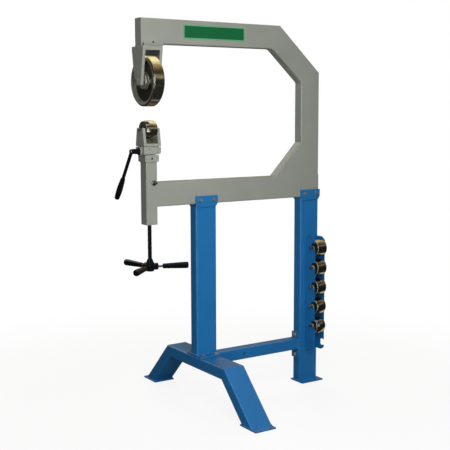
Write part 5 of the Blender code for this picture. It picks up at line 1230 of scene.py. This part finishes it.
# %% Floor
REACH = 14.0
corners = np.array([(-1, -1, 0), (1, -1, 0), (1, 1, 0), (-1, 1, 0)]) * REACH - (0, 0, 0.0004)
floor = new_object("floor", [(corners, [[0, 1, 2, 3]])])
paper, tree, shader = new_material("white_paper_floor", Roughness=0.9,
                                   Base_Color=linear("#8c8c8c"))
lit = add(tree, "ShaderNodeBsdfDiffuse", {"Color": linear("#f4f4f4")})
glow = add(tree, "ShaderNodeEmission", {"Color": linear(WHITE), "Strength": 1.0})
place = add(tree, "ShaderNodeTexCoord").outputs["Object"]
distance = add(tree, "ShaderNodeVectorMath", {0: place}, operation="LENGTH").outputs["Value"]
share = add(tree, "ShaderNodeMapRange", {"Value": distance, "From Min": 0.7, "From Max": 2.2,
                                         "To Min": 0.88, "To Max": 1.0},
            interpolation_type="SMOOTHSTEP").outputs["Result"]
both = add(tree, "ShaderNodeMixShader", {0: share, 1: lit.outputs[0], 2: glow.outputs[0]})
mixed = add(tree, "ShaderNodeMixShader", {0: seen_directly(tree), 1: shader.outputs[0],
                                          2: both.outputs[0]})
tree.links.new(mixed.outputs[0], tree.nodes["Material Output"].inputs["Surface"])
floor.data.materials.append(paper)
print("floor", 2 * REACH, "m wide")

# %% [markdown]
# Bare metal shows its surroundings, so these matter as much as its own colour. The photographed
# machine stood in a room with one warm light under the ceiling, behind and to the right, a dark
# floor and a grey strip of wall in front. The colours on the treads give these directions. A dome
# that only glossy rays see gives the steel that room, and lights nothing.

# %% The room in the reflections
DOME = 7
dome_profile = [(0, -0.0002)] + [(DOME * math.cos(t), DOME * math.sin(t))
                                 for t in np.linspace(0, math.pi / 2, 24)]
room = new_object("room", [turned(dome_profile, steps=48)])
paint, tree, shader = new_material("room_seen_in_metal")
place = add(tree, "ShaderNodeTexCoord").outputs["Object"]
place = add(tree, "ShaderNodeVectorMath", {0: place, 1: (0, 0, -0.9)},  # from wheel height
            operation="ADD").outputs["Vector"]
way = add(tree, "ShaderNodeVectorMath", {0: place}, operation="NORMALIZE").outputs["Vector"]


def towards(direction, stops):
    """Colours by the cosine between the way a reflected ray goes and a direction, where the
    stops' positions run from 0 at the cosine -1 to 1 at the cosine 1."""
    direction = np.array(direction) / np.linalg.norm(direction)
    dot = add(tree, "ShaderNodeVectorMath", {0: way, 1: direction.tolist()},
              operation="DOT_PRODUCT").outputs["Value"]
    cosine = add(tree, "ShaderNodeMapRange", {"Value": dot, "From Min": -1.0, "From Max": 1.0})
    return add(tree, RAMP, {"Fac": cosine.outputs["Result"]}, stops).outputs["Color"]


def laid(below, above, blend):
    """One colour over another, lightening or multiplying it in full."""
    return add(tree, MIX, {0: 1.0, 6: below, 7: above}, data_type="RGBA",
               blend_type=blend).outputs[2]


ceiling = towards((0.41, 0.36, 0.84), [
    (0.5, "#262720"), (0.6, "#33332a"), (0.705, "#3a3528"), (0.775, "#464030"),
    (0.85, "#736446"), (0.935, "#ad915e"), (0.977, "#f0dc9c"), (1.0, "#fff9c8")])
height = towards((0, 0, 1), [
    (0.56, BLACK), (0.605, "#44463e"), (0.63, "#63665a"), (0.659, "#949384"),
    (0.685, "#80765f"), (0.735, "#857660"), (0.77, BLACK)])
front = towards((0.3, -0.95, 0), [(0.6, BLACK), (0.85, WHITE)])
seen = laid(ceiling, laid(height, front, "MULTIPLY"), "LIGHTEN")
for direction, start, colour in (
        ((-0.11, 0.84, 0.53), 0.94, "#fff8e6"), ((-0.05, -0.25, 0.97), 0.95, "#a8c4e0"),
        ((0.1, -0.975, -0.19), 0.992, "#fff8ea"), ((0.08, -0.985, 0.12), 0.993, "#dfe6d8"),
        ((0.52, 0.68, -0.52), 0.955, "#574a36"), ((0.67, 0.0, -0.744), 0.988, "#dccfae")):
    spot = towards(direction, [(start, BLACK), (start * 0.4 + 0.6, colour)])
    seen = laid(seen, spot, "LIGHTEN")
light = add(tree, "ShaderNodeEmission", {"Color": seen, "Strength": 1.3})
tree.links.new(light.outputs[0], tree.nodes["Material Output"].inputs["Surface"])
room.data.materials.append(paint)
for ray in ("camera", "diffuse", "transmission", "volume_scatter", "shadow"):
    setattr(room, "visible_" + ray, False)
print("room with", len(tree.nodes), "nodes")

# %% [markdown]
# The key lamp is a tall strip at the near left, close to the wheels, so it lights the far end
# less, as in the photograph. A warm lamp behind draws the rear edges, and a weak one fills the
# shade. Window and softbox are seen in glossy surfaces only. A lamp of power P lights a white
# surface at the distance d to the radiance P / (pi * pi * d * d), which gives P.

# %% Lamps
def turned_to(u, v, w, place):
    """A matrix whose columns are three directions and a place."""
    rows = zip(np.stack([u, v, w], 1).tolist(), place)
    return Matrix([(*row, spot) for row, spot in rows] + [(0, 0, 0, 1)])


def lamp(name, place, target, width, height, strength, colour=WHITE, only_glossy=False):
    """An area lamp upright over the line to its target, where it gives a white surface that
    faces it the radiance strength. It lights, or it is only seen in glossy surfaces."""
    data = bpy.data.lights.new(name, "AREA")
    data.shape, data.size, data.size_y = "RECTANGLE", width, height
    place, target = np.asarray(place, float), np.asarray(target, float)
    away = place - target
    data.energy = strength * math.pi ** 2 * (away @ away)
    data.color = linear(colour)[:3]
    thing = bpy.data.objects.new(name, data)
    bpy.context.scene.collection.objects.link(thing)
    w = away / np.linalg.norm(away)
    u = np.cross(Z, w) / np.linalg.norm(np.cross(Z, w))
    thing.matrix_world = turned_to(u, np.cross(w, u), w, place)
    thing.visible_camera = False
    thing.visible_glossy = only_glossy
    thing.visible_diffuse = not only_glossy


lamp("key", np.array([-0.25, -1.7, 1.35]) + SHIFT, np.array([0.3, 0, 0.85]) + SHIFT, 0.8, 2.7, 1.05)
lamp("back", (1.5, 2.6, 2.4), (0, 0, 0.8), 2.0, 2.0, 0.5, "#fff6e8")
lamp("fill", (-2.6, -0.5, 0.7), (0.3, 0, 0.8), 1.2, 1.2, 0.045)
lamp("window", (-3.0, -1.95, 1.1), (0, 0, 0.9), 0.45, 3.0, 0.24, only_glossy=True)
lamp("softbox", (-1.15, -1.45, 3.2), (0, 0, 0.9), 0.5, 0.5, 0.04, only_glossy=True)
print(len(bpy.data.lights), "lamps")

# %% [markdown]
# The camera's place, angles and lens were fitted to edges and corners of the photograph, so the
# render can be laid over it. The view looks along the azimuth from +Y, slightly down.

# %% Camera
camera = bpy.data.objects.new("camera", bpy.data.cameras.new("camera"))
bpy.context.scene.collection.objects.link(camera)
azimuth, pitch, roll = np.radians([33.238, 7.122, -0.161])
forward = np.array([math.sin(azimuth) * math.cos(pitch), math.cos(azimuth) * math.cos(pitch),
                    -math.sin(pitch)])
right = np.array([math.cos(azimuth), -math.sin(azimuth), 0])
up = np.cross(right, forward)
right, up = (right * math.cos(roll) + up * math.sin(roll),
             up * math.cos(roll) - right * math.sin(roll))
camera.matrix_world = turned_to(right, up, -forward, (-2.1562, -3.2771, 1.2588))
camera.data.sensor_width = 36
camera.data.lens = 72.56
bpy.context.scene.camera = camera
bpy.context.scene.view_settings.view_transform = "Standard"
print("lens of", round(camera.data.lens, 2), "mm")

# %% Update the view layer
bpy.context.view_layer.update()
